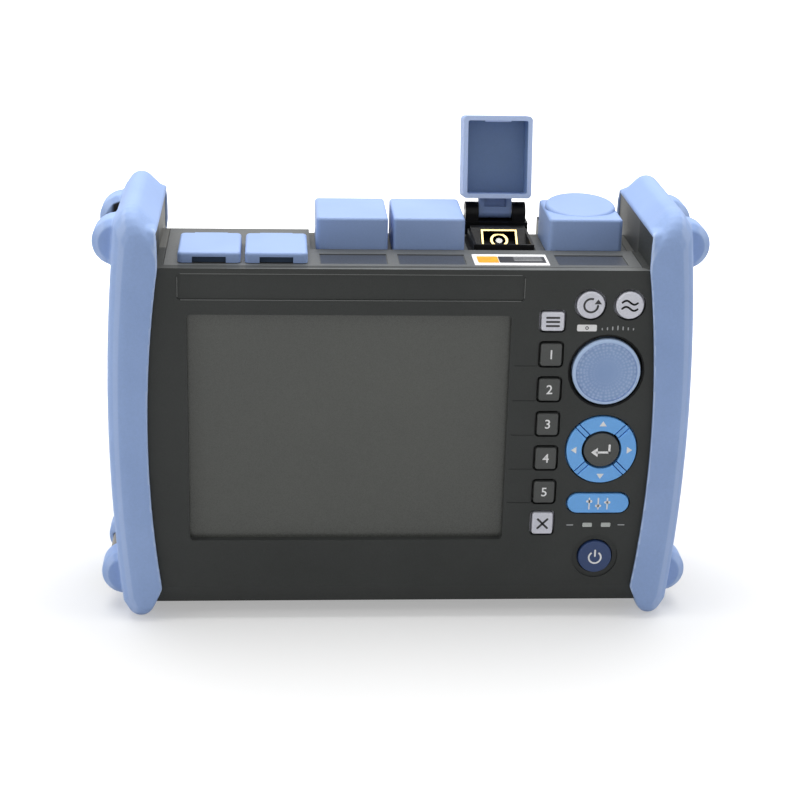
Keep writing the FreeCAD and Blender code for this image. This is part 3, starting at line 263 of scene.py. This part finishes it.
M = {
    "case": plastic("case_plastic", srgb(57, 59, 58), srgb(52, 54, 53), rough=0.52,
                    grain=1500.0, depth=0.35, speck=0.06, specular=0.22),
    # paler grey for a painted highlight on the case's upper front edge and on the title lines
    "edge_highlight": plastic("edge_highlight_plastic", srgb(96, 98, 97), srgb(88, 90, 89),
                         rough=0.45, grain=1500.0, depth=0.3, speck=0.05),
    "case_back": plastic("case_back_plastic", srgb(92, 92, 88), srgb(84, 84, 80),
                         rough=0.55, grain=1400.0, depth=0.35, speck=0.06),
    "panel": plastic("panel_plastic", srgb(88, 90, 90), srgb(80, 82, 82), rough=0.5,
                     grain=1500.0, depth=0.3, speck=0.05),
    # the blue moulding; its tone leads it to a pale painted highlight and a near-black painted
    # shade
    "rubber": toned(plastic("blue_elastomer", srgb(157, 183, 230), srgb(149, 175, 222),
                            rough=0.62, grain=1100.0, depth=0.22, speck=0.03, sheen=0.1,
                            specular=0.3),
                    srgb(196, 214, 246), srgb(14, 14, 15)),
    "cover": plastic("cover_plastic", srgb(152, 177, 223), srgb(145, 170, 216),
                     rough=0.5, grain=1200.0, depth=0.2, speck=0.03),
    # paler blue for a painted highlight on the rim of the open cover
    "rim_highlight": plastic("rim_highlight_plastic", srgb(196, 214, 248), srgb(188, 207, 243),
                         rough=0.45, grain=1200.0, depth=0.2, speck=0.03),
    # darker blue for painted shade in the hollows of the tall covers
    "hollow_shade": plastic("hollow_shade_plastic", srgb(134, 160, 196),
                            srgb(127, 152, 189), rough=0.5, grain=1200.0, depth=0.2,
                            speck=0.03),
    # dark blue for painted shade in the finger notches of the low covers
    "recess_shade": plastic("recess_shade_blue", srgb(62, 78, 100), srgb(54, 69, 90), rough=0.55,
                     grain=1300.0, depth=0.3, specular=0.2),
    "window": plastic("window_hard_coat", srgb(84, 86, 82), srgb(79, 81, 78),
                      rough=0.28, grain=2600.0, depth=0.06, speck=0.02, cloud=14.0,
                      specular=0.35),
    "lcd": plastic("lcd_glass", srgb(60, 62, 60), srgb(52, 54, 52), rough=0.2,
                   grain=900.0, depth=0.03),
    "black": plastic("black_nylon", srgb(22, 22, 23), srgb(15, 15, 16), rough=0.42,
                     grain=1300.0, depth=0.3, specular=0.15),
    "well": plastic("well_black", srgb(15, 15, 16), srgb(9, 9, 10), rough=0.5,
                    grain=1300.0, depth=0.3, specular=0.12),
    "key_dark": plastic("key_grey_rubber", srgb(70, 72, 71), srgb(63, 65, 64),
                        rough=0.6, grain=1900.0, depth=0.5, speck=0.12),
    "key_light": plastic("key_light_rubber", srgb(228, 229, 238), srgb(216, 217, 228),
                         rough=0.55, grain=1500.0, depth=0.3, speck=0.06),
    "key_blue": plastic("key_blue_rubber", srgb(118, 186, 252), srgb(108, 175, 246),
                        rough=0.5, grain=1500.0, depth=0.25, speck=0.03),
    "key_navy": plastic("key_navy_rubber", srgb(42, 66, 112), srgb(36, 57, 100),
                        rough=0.5, grain=1500.0, depth=0.25, speck=0.05),
    "knob": dotted("knob_soft_touch", srgb(143, 170, 214), srgb(135, 162, 208),
                   srgb(196, 216, 244), KNOB_AT * MM),
    # paler blue for a painted highlight on the knob's rounded edge
    "knob_ring_highlight": plastic("knob_ring_highlight_soft", srgb(186, 210, 244), srgb(178, 202, 238),
                        rough=0.4, grain=1200.0, depth=0.15, speck=0.02),
    "pipe": plastic("light_pipe", srgb(196, 200, 196), srgb(170, 176, 172),
                    rough=0.25, grain=700.0, depth=0.1, coat=0.4),
    "board": plastic("board_green", srgb(28, 82, 48), srgb(20, 64, 38), rough=0.4,
                     grain=420.0, depth=0.6, coat=0.3),
    "steel": plastic("steel", srgb(196, 196, 194), srgb(168, 168, 166), rough=0.3,
                     grain=500.0, depth=0.15, metal=1.0),
    "brass": plastic("brass", srgb(206, 184, 128), srgb(180, 156, 104), rough=0.3,
                     grain=500.0, depth=0.15, metal=1.0),
    "ceramic": plastic("ceramic", srgb(238, 236, 228), srgb(226, 224, 216),
                       rough=0.2, grain=900.0, depth=0.05),
    "grey": plastic("bar_grey", srgb(150, 146, 138), srgb(134, 130, 122), rough=0.5,
                    grain=1300.0, depth=0.25),
    "white": plastic("white_print", srgb(246, 246, 246), srgb(236, 236, 238),
                     rough=0.5, grain=1800.0, depth=0.1),
    "ink": plastic("dark_print", srgb(34, 34, 38), srgb(26, 26, 30), rough=0.5,
                   grain=1800.0, depth=0.1),
    "amber": plastic("amber_print", srgb(250, 178, 36), srgb(240, 150, 26),
                     rough=0.45, grain=1500.0, depth=0.1, cloud=260.0),
    "grey_print": plastic("grey_print", srgb(176, 178, 180), srgb(160, 162, 164),
                          rough=0.45, grain=900.0, depth=0.1),
    "plate": plastic("label_field", srgb(64, 68, 76), srgb(58, 62, 70), rough=0.35,
                     grain=1500.0, depth=0.12, speck=0.03, specular=0.4),
}

FINISH = {
    "front_case": "case", "rear_case": "case_back", "connector_panel": "panel",
    "protector_right": "rubber", "protector_left": "rubber", "strap_bars": "grey",
    "display_window": "window", "lcd_module": "lcd", "main_board": "board",
    "key_mat": "well", "key_board": "board", "led_pipes": "pipe",
    "arrow_divider": "key_blue", "encoder_housing": "black", "encoder_plunger": "black",
    "encoder_shaft": "steel", "rotary_knob": "knob", "port_adapters": "brass",
    "port_ferrules": "ceramic", "cover_pins": "steel", "lan_jack": "steel",
    "usb_jack": "steel", "optical_module": "steel", "battery_pack": "black",
    "battery_cover": "case_back", "case_screws": "steel", "stand_pins": "steel",
    "tilt_stand": "black", "key_menu": "key_light", "key_esc": "key_light",
    "key_real_time": "key_light", "key_average": "key_light",
    "key_setup": "key_blue", "key_power": "key_navy", "key_enter": "key_dark",
}
FAMILIES = {
    "key_f": "key_dark", "arrow_": "key_blue", "tall_cover_": "cover",
    "low_cover_": "cover", "port_block_": "black",
}
for name, node in nodes.items():
    finish = FINISH.get(name) or next(look for start, look in FAMILIES.items()
                                      if name.startswith(start))
    node.data.materials.clear()
    node.data.materials.append(M[finish])


# -------------------------------------------------- second finish of some faces, most of them painted shade or painted highlights

def paint(name, finish, chosen):
    """Give another finish to the faces that chosen picks by their middle and normal."""
    mesh = nodes[name].data
    mesh.materials.append(M[finish])
    index = len(mesh.materials) - 1
    for polygon in mesh.polygons:
        if chosen(polygon.center / MM, polygon.normal):
            polygon.material_index = index


INNER_WALL = 1e-4         # square metres; the smallest face of a cover's inner side
FILLET = 0.6              # rounding in the corners of a cover's hollow
RIM = 1.0                 # the rim lies this close to the opening
SWUNG_BACK = 10           # degrees by which the open cover leans past upright


def hollow_of(name, tilt):
    """Turn that sets a cover upright, and the corners of the hollow between its walls."""
    mesh = nodes[name].data
    turn = Matrix.Rotation(math.radians(tilt), 3, "X")
    low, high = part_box(name)
    middle = (low.x + high.x) / 2
    walls = [polygon for polygon in mesh.polygons
             if abs(polygon.normal.x) > 0.99 and polygon.area > INNER_WALL
             and (polygon.center.x - middle) * polygon.normal.x < 0]
    points = np.array([turn @ mesh.vertices[index].co
                       for polygon in walls for index in polygon.vertices])
    return turn, points.min(0) / MM, points.max(0) / MM


# The walls of each tall cover's hollow get a darker painted shade.
for number, tilt in ((1, 0), (2, 0), (3, SWUNG_BACK), (4, 0)):
    cover = f"tall_cover_{number}"
    turn, low, high = hollow_of(cover, tilt)
    paint(cover, "hollow_shade",
          lambda at, n: all(low[k] - FILLET < (turn @ at)[k] < high[k] + FILLET
                            for k in range(3)))
    # The rim of the open cover gets a paler painted highlight.
    if tilt:
        paint(cover, "rim_highlight",
              lambda at, n: n.y < -0.9 and (turn @ at).y < low[1] + RIM)

port = next(mount for mount in frame["record"]["mounts"] if mount["name"] == "optical_port")
PORT_AT = Vector(port["pos_m"]) / MM
PORT_AXIS = Vector(port["axis"])
PORT_UP = PORT_AXIS.cross(Vector((1, 0, 0)))
SOCKET_HALF = 6.3         # half width of an adapter's opening
SLEEVE_UP = 2.4           # the sleeve sits above the middle of the opening
SLEEVE_IN, SLEEVE_OUT = 2.52, 3.45    # radii between which the sleeve lies


def in_socket(at, n):
    """Faces inside an adapter's frame, without the metal sleeve."""
    across = min((at.x - x for x, width in COVERS), key=abs)
    along = (at - PORT_AT).dot(PORT_UP)
    height = (at - PORT_AT).dot(PORT_AXIS)
    from_sleeve = math.hypot(across, along - SLEEVE_UP)
    return (height < -0.05 and max(abs(across), abs(along)) < SOCKET_HALF
            and not SLEEVE_IN < from_sleeve < SLEEVE_OUT)


KNOB_RIM = 1.15           # width of the knob's rounded edge
EDGE_LOW = LEDGE - 1.5    # the case's upper front edge starts at this height
EDGE_DEEP = 2.5           # and ends this far behind the face
EDGE_HALF = GUARD_IN + 0.4    # half of its length, up to just behind the protectors

paint("port_adapters", "well", in_socket)
# The knob's rounded edge gets a paler painted highlight.
paint("rotary_knob", "knob_ring_highlight",
      lambda at, n: math.hypot(at.x - KNOB_AT.x, at.z - KNOB_AT.z) > KNOB_R - KNOB_RIM)
# The upward faces of the case's upper front edge get a pale painted highlight.
paint("front_case", "edge_highlight",
      lambda at, n: at.z > EDGE_LOW and n.z > 0.2 and at.y < FACE + EDGE_DEEP
      and abs(at.x) < EDGE_HALF)

NOTCH_HALF, NOTCH_TALL, NOTCH_DEEP = 6.1, 2.3, 1.3    # finger notch of a low cover
# The finger notch of each low cover gets a dark painted shade.
for number in (1, 2):
    lowest, highest = corners(f"low_cover_{number}")
    middle = (lowest.x + highest.x) / 2
    paint(f"low_cover_{number}", "recess_shade",
          lambda at, n: abs(at.x - middle) < NOTCH_HALF and at.z < lowest.z + NOTCH_TALL
          and lowest.y + 0.05 < at.y < lowest.y + NOTCH_DEEP)


# ------------------------------------------------------------- side protectors

VOXEL = 0.00055           # metres; grid on which the solid is melted together
MELT_STEPS = 5


def melted(name, node, lumps):
    """Mesh of a node's form joined with lumps, its edges melted."""
    bm = bmesh.new()
    bm.from_mesh(nodes[node].data)
    for lump in lumps:
        points = [bm.verts.new(Vector(point) * MM) for point in lump]
        hull = bmesh.ops.convex_hull(bm, input=points)
        inner = [item for item in hull["geom_interior"] if isinstance(item, bmesh.types.BMVert)]
        bmesh.ops.delete(bm, geom=inner, context="VERTS")
    rough = bpy.data.meshes.new(name + "_draft")
    bm.to_mesh(rough)
    bm.free()
    draft = bpy.data.objects.new(name + "_draft", rough)
    bpy.context.scene.collection.objects.link(draft)
    weld = draft.modifiers.new("weld", "WELD")
    weld.merge_threshold = 0.00001
    grid = draft.modifiers.new("grid", "REMESH")
    grid.mode = "VOXEL"
    grid.voxel_size = VOXEL
    soft = draft.modifiers.new("soft", "SMOOTH")
    soft.factor = 0.5
    soft.iterations = MELT_STEPS
    bpy.context.view_layer.update()
    ready = draft.evaluated_get(bpy.context.evaluated_depsgraph_get())
    mesh = bpy.data.meshes.new_from_object(ready)
    mesh.name = name
    bpy.data.objects.remove(draft)
    return mesh


def moulded(name, node, lumps, shape, shade, material):
    """A soft moulding in place of a node: melted, then shaped, and given a tone of painted
    highlights and painted shade.
    """
    mesh = melted(name, node, lumps)
    count = len(mesh.vertices)
    points = np.empty(count * 3, np.float32)
    normals = np.empty(count * 3, np.float32)
    mesh.vertices.foreach_get("co", points)
    mesh.vertices.foreach_get("normal", normals)
    points = points.reshape(-1, 3) / MM
    normals = normals.reshape(-1, 3)
    # the tone holds the painted highlights and the painted shade
    tone = mesh.attributes.new("tone", "FLOAT", "POINT")
    tone.data.foreach_set("value", shade(points, normals).astype(np.float32))
    points = shape(points, normals) * MM
    mesh.vertices.foreach_set("co", points.astype(np.float32).ravel())
    mesh.update()
    for polygon in mesh.polygons:
        polygon.use_smooth = True
    obj = bpy.data.objects.new(name, mesh)
    bpy.context.scene.collection.objects.link(obj)
    mesh.materials.clear()
    mesh.materials.append(M[material])
    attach(obj, "chassis")
    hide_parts(node)


def step(value, low, high):
    """A smooth rise from 0 at low to 1 at high."""
    t = np.clip((value - low) / (high - low), 0, 1)
    return t * t * (3 - 2 * t)


RIB_PITCH, RIB_DEEP = 3.5, 0.55
RIBS_SIDE = (98, 101)     # the ribs start between these distances from the middle plane
RIBS_LOW = (32, 38)       # and fade in between these heights
RIBS_HIGH = (120, 126)    # and out between these
RIBS_HALF = (27, 31)      # and out again towards the front and the rear


def grip(points, normals):
    """Cut shallow grip grooves across the outer side."""
    side = np.abs(points[:, 0])
    depth = np.abs(points[:, 1] - MIDDLE)
    height = points[:, 2]
    outward = step(np.abs(normals[:, 0]), 0.55, 0.85) * step(side, *RIBS_SIDE)
    span = step(height, *RIBS_LOW) * (1 - step(height, *RIBS_HIGH))
    wide = 1 - step(depth, *RIBS_HALF)
    groove = 0.5 - 0.5 * np.cos(height / RIB_PITCH * 2 * np.pi)
    cut = RIB_DEEP * groove ** 2 * outward * span * wide
    return points - normals * cut[:, None]


KNEE_OUT = 96.0           # the lumps end this far from the middle plane, within the ridge
# Sections of the two lumps, as distances from the middle towards the end, and heights. One lump
# is the end of the roof and one the upper end of the lip. Each has a section at the inner side
# and one at KNEE_OUT.
ROOF_IN = ((22, 149.5), (22, 150.9), (31.5, 150.9), (34.6, 150.2), (35.3, 149.5))
ROOF_OUT = ((22, 149.5), (22, 155.0), (31.5, 154.5), (34.6, 152.4), (35.3, 149.5))
LIP_IN = ((35.1, 149.8), (36.3, 146.5), (36.9, 141.0), (35.1, 141.0))
LIP_OUT = ((35.1, 152.0), (36.3, 149.5), (36.9, 144.0), (35.1, 141.0))


def knee(side, end):
    """Two lumps that fill one upper corner of a protector; end is -1 at the front."""
    lumps = []
    for inner, outer in ((ROOF_IN, ROOF_OUT), (LIP_IN, LIP_OUT)):
        lump = [(side * GUARD_IN, MIDDLE + end * away, z) for away, z in inner]
        lump += [(side * KNEE_OUT, MIDDLE + end * away, z) for away, z in outer]
        lumps.append(lump)
    return lumps


# These place the painted shade and painted highlights of the protectors. Each pair holds where
# a shade starts to change and where the change is complete.
SLOT_HALF_D = (10.6, 11.0)    # painted shade in the strap slot, from its middle to the front and the rear
SLOT_HALF_H = (7.6, 8.2)      # from its middle up and down
SLOT_INNER = (100.6, 101.2)   # and between these distances from the middle plane
SLOT_OUTER = (106.0, 107.5)
EDGE_WIDTH = (1.2, 1.9)       # painted highlight along the inner edge of the lip
SEAM_WIDTH = (0.7, 1.1)       # painted shade in the seam between the lip and the case
SEAM_TOP = (136.0, 138.0)
SEAM_DEPTH = (0.2, 0.6)
INNER_EDGE = 92.2         # inner edge of the lip at mid height
EDGE_BOW = 4.4            # it draws in by this much at its ends
BOW_MIDDLE, BOW_HALF = 77.0, 60.5     # middle height of that bow, and its ends from there


def shadowed(points, normals):
    """Tone of the soft mouldings: painted shade, dark in the strap slots and in the seam at the
    case, and painted highlights, pale along the inner edge of the lip and on a band of the
    front.
    """
    side = np.abs(points[:, 0])
    depth = np.abs(points[:, 1] - EARS_Y)
    height = np.abs(np.abs(points[:, 2] - EARS_Z) - EARS_UP)
    slot = ((1 - step(depth, *SLOT_HALF_D)) * (1 - step(height, *SLOT_HALF_H))
            * step(side, *SLOT_INNER) * (1 - step(side, *SLOT_OUTER)))
    inward = -normals[:, 0] * np.sign(points[:, 0])
    front = step(-normals[:, 1], 0.2, 0.45)
    bow = np.clip((points[:, 2] - BOW_MIDDLE) / BOW_HALF, -1, 1)
    from_edge = side - (INNER_EDGE - EDGE_BOW * bow ** 2)
    edge = step(inward, 0.12, 0.35) * front * (1 - step(from_edge, *EDGE_WIDTH))
    seam = (step(inward, 0.85, 0.95) * (1 - step(from_edge, *SEAM_WIDTH))
            * (1 - step(points[:, 2], *SEAM_TOP))
            * (1 - step(points[:, 1] - FACE, *SEAM_DEPTH)))
    # a weaker painted highlight on the band of the front that turns outwards
    band = step(-inward, 0.3, 0.45) * (1 - step(-inward, 0.55, 0.75)) * front
    return 0.8 * edge + 0.3 * band - slot - 0.7 * seam


for side, word in ((1, "right"), (-1, "left")):
    moulded(f"protector_{word}_soft", f"protector_{word}", knee(side, -1) + knee(side, 1),
            grip, shadowed, "rubber")


# ------------------------------------------------------------- print helpers

CORNER_STEPS = 6
ARC_STEPS = 28
NUMBER_SIZE = 4.9


def slab(bm, loop, place, low, high):
    """A thin plate with outline loop; place turns (u, v, height) into a point."""
    ring0 = [bm.verts.new(place(u, v, low)) for u, v in loop]
    ring1 = [bm.verts.new(place(u, v, high)) for u, v in loop]
    bm.faces.new(ring1)
    bm.faces.new(list(reversed(ring0)))
    for i in range(len(loop)):
        j = (i + 1) % len(loop)
        bm.faces.new((ring0[i], ring0[j], ring1[j], ring1[i]))


def printed(name, loops, place, low, high, material, body):
    """A piece made of thin plates, one for each outline."""
    bm = bmesh.new()
    for loop in loops:
        slab(bm, loop, place, low, high)
    bmesh.ops.recalc_face_normals(bm, faces=bm.faces)
    bmesh.ops.scale(bm, vec=(MM, MM, MM), verts=bm.verts)
    mesh = bpy.data.meshes.new(name)
    bm.to_mesh(mesh)
    bm.free()
    mesh.materials.append(M[material])
    obj = bpy.data.objects.new(name, mesh)
    bpy.context.scene.collection.objects.link(obj)
    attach(obj, body)


def print_on_front(name, loops, material, body, face=KEY_FACE, proud=0.05):
    """Raised print on a face that looks to the front; loops are (x, z)."""
    printed(name, loops, lambda u, v, h: (u, face - h, v), -0.03, proud, material, body)


def plate_on_top(name, loops, material, height, proud=0.06):
    """A thin plate that lies on the top panel; loops are (x, y)."""
    printed(name, loops, lambda u, v, h: (u, v, height + h), -0.05, proud, material,
            "chassis")


def rounded(cx, cy, width, height, radius):
    """Outline of a rectangle with round corners."""
    loop = []
    for sx, sy, start in ((1, 1, 0), (-1, 1, 90), (-1, -1, 180), (1, -1, 270)):
        for i in range(CORNER_STEPS + 1):
            a = math.radians(start + 90 * i / CORNER_STEPS)
            loop.append((cx + sx * (width / 2 - radius) + radius * math.cos(a),
                         cy + sy * (height / 2 - radius) + radius * math.sin(a)))
    return loop


def bar(a, b, width):
    """Outline of a stroke from a to b with round ends."""
    angle = math.atan2(b[1] - a[1], b[0] - a[0])
    loop = []
    for (cx, cy), start in ((b, angle - math.pi / 2), (a, angle + math.pi / 2)):
        for i in range(CORNER_STEPS + 1):
            t = start + math.pi * i / CORNER_STEPS
            loop.append((cx + width / 2 * math.cos(t), cy + width / 2 * math.sin(t)))
    return loop


def arc_band(cx, cy, radius, width, start, end):
    """Outline of a curved stroke, angles in degrees."""
    loop = []
    for r, order in ((radius + width / 2, range(ARC_STEPS + 1)),
                     (radius - width / 2, range(ARC_STEPS, -1, -1))):
        for i in order:
            t = math.radians(start + (end - start) * i / ARC_STEPS)
            loop.append((cx + r * math.cos(t), cy + r * math.sin(t)))
    return loop


def numeral(name, text, body):
    """A plain number, printed on the front of a key."""
    x, z = front_middle(body)
    curve = bpy.data.curves.new(name, "FONT")
    curve.body = text
    curve.size = NUMBER_SIZE * MM
    curve.align_x = "CENTER"
    curve.align_y = "CENTER"
    curve.extrude = 0.04 * MM
    curve.offset = 0.05 * MM
    obj = bpy.data.objects.new(name, curve)
    bpy.context.scene.collection.objects.link(obj)
    obj.rotation_euler = (math.pi / 2, 0, 0)
    obj.location = (x * MM, (KEY_FACE - 0.01) * MM, z * MM)
    curve.materials.append(M["white"])
    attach(obj, body)


# ------------------------------------------------------------- marks on the keys

for number in range(1, 6):
    numeral(f"number_{number}", str(number), f"key_f{number}")

x, z = front_middle("key_menu")
print_on_front("menu_mark", [bar((x - 2.2, z + up), (x + 2.2, z + up), 0.75)
                             for up in (1.55, 0, -1.55)], "ink", "key_menu")

x, z = front_middle("key_esc")
print_on_front("escape_mark", [bar((x - 1.8, z - lean), (x + 1.8, z + lean), 0.8)
                               for lean in (1.8, -1.8)], "ink", "key_esc")

x, z = front_middle("key_real_time")
print_on_front("live_mark", [
    arc_band(x, z, 2.5, 0.75, 70, 360),
    bar((x + 2.5, z - 0.1), (x + 2.5, z - 0.2), 0.75),
    [(x + 1.2, z + 0.5), (x + 3.9, z + 0.5), (x + 2.5, z + 2.3)],
], "ink", "key_real_time")

x, z = front_middle("key_average")
waves = []
for row in (1.15, -1.15):
    points = [(x - 2.9 + 0.4 * k, z + row + 0.75 * math.sin(k / 14.5 * 2 * math.pi))
              for k in range(15)]
    waves += [bar(a, b, 0.7) for a, b in zip(points, points[1:])]
print_on_front("mean_mark", waves, "ink", "key_average")

x, z = front_middle("key_enter")
TIP, BASE, HALF = 11.4, 9.4, 1.35     # arrowheads, measured from the ring's middle
for name, angle in (("right", 0), ("up", 90), ("left", 180), ("down", 270)):
    turn = Matrix.Rotation(math.radians(angle), 2)
    head = [turn @ Vector(point) for point in ((TIP, 0), (BASE, HALF), (BASE, -HALF))]
    print_on_front(f"pointer_{name}", [[(x + point.x, z + point.y) for point in head]],
                   "white", f"arrow_{name}")

print_on_front("return_mark", [
    bar((x + 2.9, z + 1.9), (x + 2.9, z - 0.9), 0.8),
    bar((x + 2.9, z - 0.9), (x - 1.6, z - 0.9), 0.8),
    [(x - 1.4, z + 0.9), (x - 3.9, z - 0.9), (x - 1.4, z - 2.7)],
], "white", "key_enter")

x, z = front_middle("key_setup")
sliders = []
for dx, dz in ((-3.4, 0.9), (0, -0.9), (3.4, 0.5)):
    sliders.append(bar((x + dx, z - 2.1), (x + dx, z + 2.1), 0.55))
    sliders.append(bar((x + dx - 0.7, z + dz), (x + dx + 0.7, z + dz), 1.0))
print_on_front("setup_mark", sliders, "white", "key_setup")

x, z = front_middle("key_power")
print_on_front("power_mark", [arc_band(x, z - 0.2, 2.3, 0.65, 125, 415),
                              bar((x, z + 0.4), (x, z + 2.7), 0.65)],
               "white", "key_power")


# ------------------------------------------------------------- marks on the case

# A dark ring round the knob, and over it a pale block with a dot and a scale of seven strokes
print_on_front("knob_seat", [arc_band(KNOB_AT.x, KNOB_AT.z, KNOB_R + 1.35, 0.55, 0, 359.9)],
               "well", "chassis", face=FACE, proud=0.03)
x, z = KNOB_AT.x - 8.0, KNOB_AT.z + 16.6
print_on_front("push_block", [rounded(x, z, 7.2, 2.5, 0.5)], "white", "chassis", face=FACE)
print_on_front("push_dot", [arc_band(x, z, 0.5, 0.3, 0, 359)], "ink", "chassis",
               face=FACE - 0.03)
x, z = KNOB_AT.x - 2.4, KNOB_AT.z + 16.0
print_on_front("knob_scale", [bar((x + 1.9 * k, z), (x + 1.9 * k, z + tall), 0.45)
                              for k, tall in enumerate((0.4, 0.7, 1.0, 1.3, 1.0, 0.7, 0.4))],
               "grey_print", "chassis", face=FACE)

x, z = front_middle("led_pipes")
print_on_front("lamp_marks", [bar((x + dx, z), (x + dx + 2.2, z), 0.4)
                              for dx in (-11.2, 8.2)],
               "grey_print", "chassis", face=FACE)

# Pale lines round the bare title field over the window, open at its corners: a painted
# highlight along the groove there
LEFT, RIGHT = window_low.x - 1.0, window_high.x + 2.1
BOTTOM = window_high.z + 3.3
UPPER = BOTTOM + 9.6
OPEN, LINE_W = 1.2, 0.28
lines = [bar((LEFT + OPEN, z), (RIGHT - OPEN, z), LINE_W) for z in (UPPER, BOTTOM)]
lines += [bar((x, BOTTOM + OPEN), (x, UPPER - OPEN), LINE_W) for x in (LEFT, RIGHT)]
print_on_front("title_groove_highlight", lines, "edge_highlight", "chassis", face=FACE, proud=0.03)


# ------------------------------------------------------- plates on the top panel

FIELD_Y = FACE + 13.75    # middle of the label fields in front of the tall covers
FIELD_DEEP = 12.9
FIELD_MARGIN = 2.6        # a field is narrower than its cover by this much
FIELD_SUNK = 0.36
for i, (x, width) in enumerate(COVERS):
    plate_on_top(f"field_{i + 1}",
                 [rounded(x, FIELD_Y, width - FIELD_MARGIN, FIELD_DEEP, 0.6)],
                 "plate", LEDGE - FIELD_SUNK)

# Caution plate before the open cover: a white card, an amber and a dark block, three lines
CARD_W, CARD_H, CARD_T = 27.2, 14.6, 0.2
BLOCK_H = 8.4
CARD_TOP = LEDGE + 0.05 + CARD_T
x, y = COVERS[2][0] + 0.4, FACE + 13.0
plate_on_top("notice", [rounded(x, y, CARD_W, CARD_H, 0.5)], "white", CARD_TOP - CARD_T, CARD_T)
plate_on_top("notice_amber", [rounded(x - 8.3, y, 7.6, BLOCK_H, 0.5)], "amber", CARD_TOP)
plate_on_top("notice_strip", [rounded(x + 4.2, y, 17.0, BLOCK_H, 0.5)], "ink", CARD_TOP)
plate_on_top("notice_bars", [rounded(x + 6.4, y + dy, 10.4, 0.55, 0.25)
                             for dy in (-1.2, 0.6, 2.4)],
             "grey_print", CARD_TOP + 0.06, 0.04)


# ------------------------------------------------------------------- stage

def looked_at(tree):
    """One for rays from the camera, a mirror or glass, nothing for light on the object."""
    path = add(tree, "LightPath")
    seen = maths(tree, "MAXIMUM", path.outputs["Is Camera Ray"], path.outputs["Is Glossy Ray"])
    return maths(tree, "MAXIMUM", seen, path.outputs["Is Transmission Ray"])


def floor_material():
    """White paper that still holds the shadow near the object."""
    m, t, shader = new_material("floor_paper")
    shader.inputs["Base Color"].default_value = (0.6, 0.6, 0.6, 1)
    shader.inputs["Roughness"].default_value = 0.9
    shader.inputs["Specular IOR Level"].default_value = 0.1
    shader.inputs["Emission Color"].default_value = (1, 1, 1, 1)
    coords = add(t, "TexCoord").outputs["Object"]
    distance = vector_maths(t, "LENGTH", coords).outputs["Value"]
    away = mapped(t, distance, 0.1, 0.5, 0.37, 1.0, curve="SMOOTHSTEP")
    t.links.new(maths(t, "MULTIPLY", away, looked_at(t)), shader.inputs["Emission Strength"])
    return m


bpy.ops.mesh.primitive_plane_add(size=16, location=(0, 0, 0))
floor = bpy.context.object
floor.name = "floor"
floor.data.materials.append(floor_material())


def soft_light(name, at, aim, size, power):
    """A rectangular lamp that looks at a point; all in metres and watts."""
    data = bpy.data.lights.new(name, "AREA")
    data.shape = "RECTANGLE"
    data.size, data.size_y = size
    data.energy = power
    lamp = bpy.data.objects.new(name, data)
    bpy.context.scene.collection.objects.link(lamp)
    lamp.location = at
    lamp.rotation_mode = "QUATERNION"
    lamp.rotation_quaternion = (Vector(aim) - Vector(at)).to_track_quat("-Z", "Y")


soft_light("overhead", (0.0, 0.25, 1.25), (0, 0, 0.08), (1.4, 1.0), 19.0)
soft_light("left_side", (-1.1, -0.35, 0.55), (0, 0, 0.08), (0.7, 0.9), 3.8)
soft_light("right_side", (1.1, -0.35, 0.55), (0, 0, 0.08), (0.7, 0.9), 2.4)
soft_light("front_fill", (0.0, -1.5, 0.55), (0, 0, 0.06), (1.4, 0.7), 0.8)

ROOM_LIGHT = 0.3          # strength of the white room as light on the object
world = bpy.data.worlds.new("studio")
world.use_nodes = True
bpy.context.scene.world = world
sky = world.node_tree.nodes["Background"]
sky.inputs["Color"].default_value = (1, 1, 1, 1)
level = mapped(world.node_tree, looked_at(world.node_tree), 0.0, 1.0, ROOM_LIGHT, 1.0)
world.node_tree.links.new(level, sky.inputs["Strength"])


# ------------------------------------------------------------------ camera

CAMERA_AT = (-0.04650, MIDDLE * MM - 0.67973, 0.31854)    # metres
LENS = 84.87
YAW, DOWN, ROLL = math.radians(4.05), math.radians(19.64), math.radians(1.43)

forward = Vector((math.sin(YAW) * math.cos(DOWN), math.cos(YAW) * math.cos(DOWN),
                  -math.sin(DOWN)))
right = Vector((math.cos(YAW), -math.sin(YAW), 0))
up = right.cross(forward)
right_rolled = right * math.cos(ROLL) + up * math.sin(ROLL)
up_rolled = up * math.cos(ROLL) - right * math.sin(ROLL)
camera_data = bpy.data.cameras.new("camera")
camera_data.lens = LENS
camera_data.sensor_width = 36.0
camera_data.clip_end = 50
camera = bpy.data.objects.new("camera", camera_data)
bpy.context.scene.collection.objects.link(camera)
turn = Matrix((right_rolled, up_rolled, -forward)).transposed()
camera.matrix_world = Matrix.Translation(CAMERA_AT) @ turn.to_4x4()
bpy.context.scene.camera = camera
bpy.context.scene.view_settings.view_transform = "Standard"
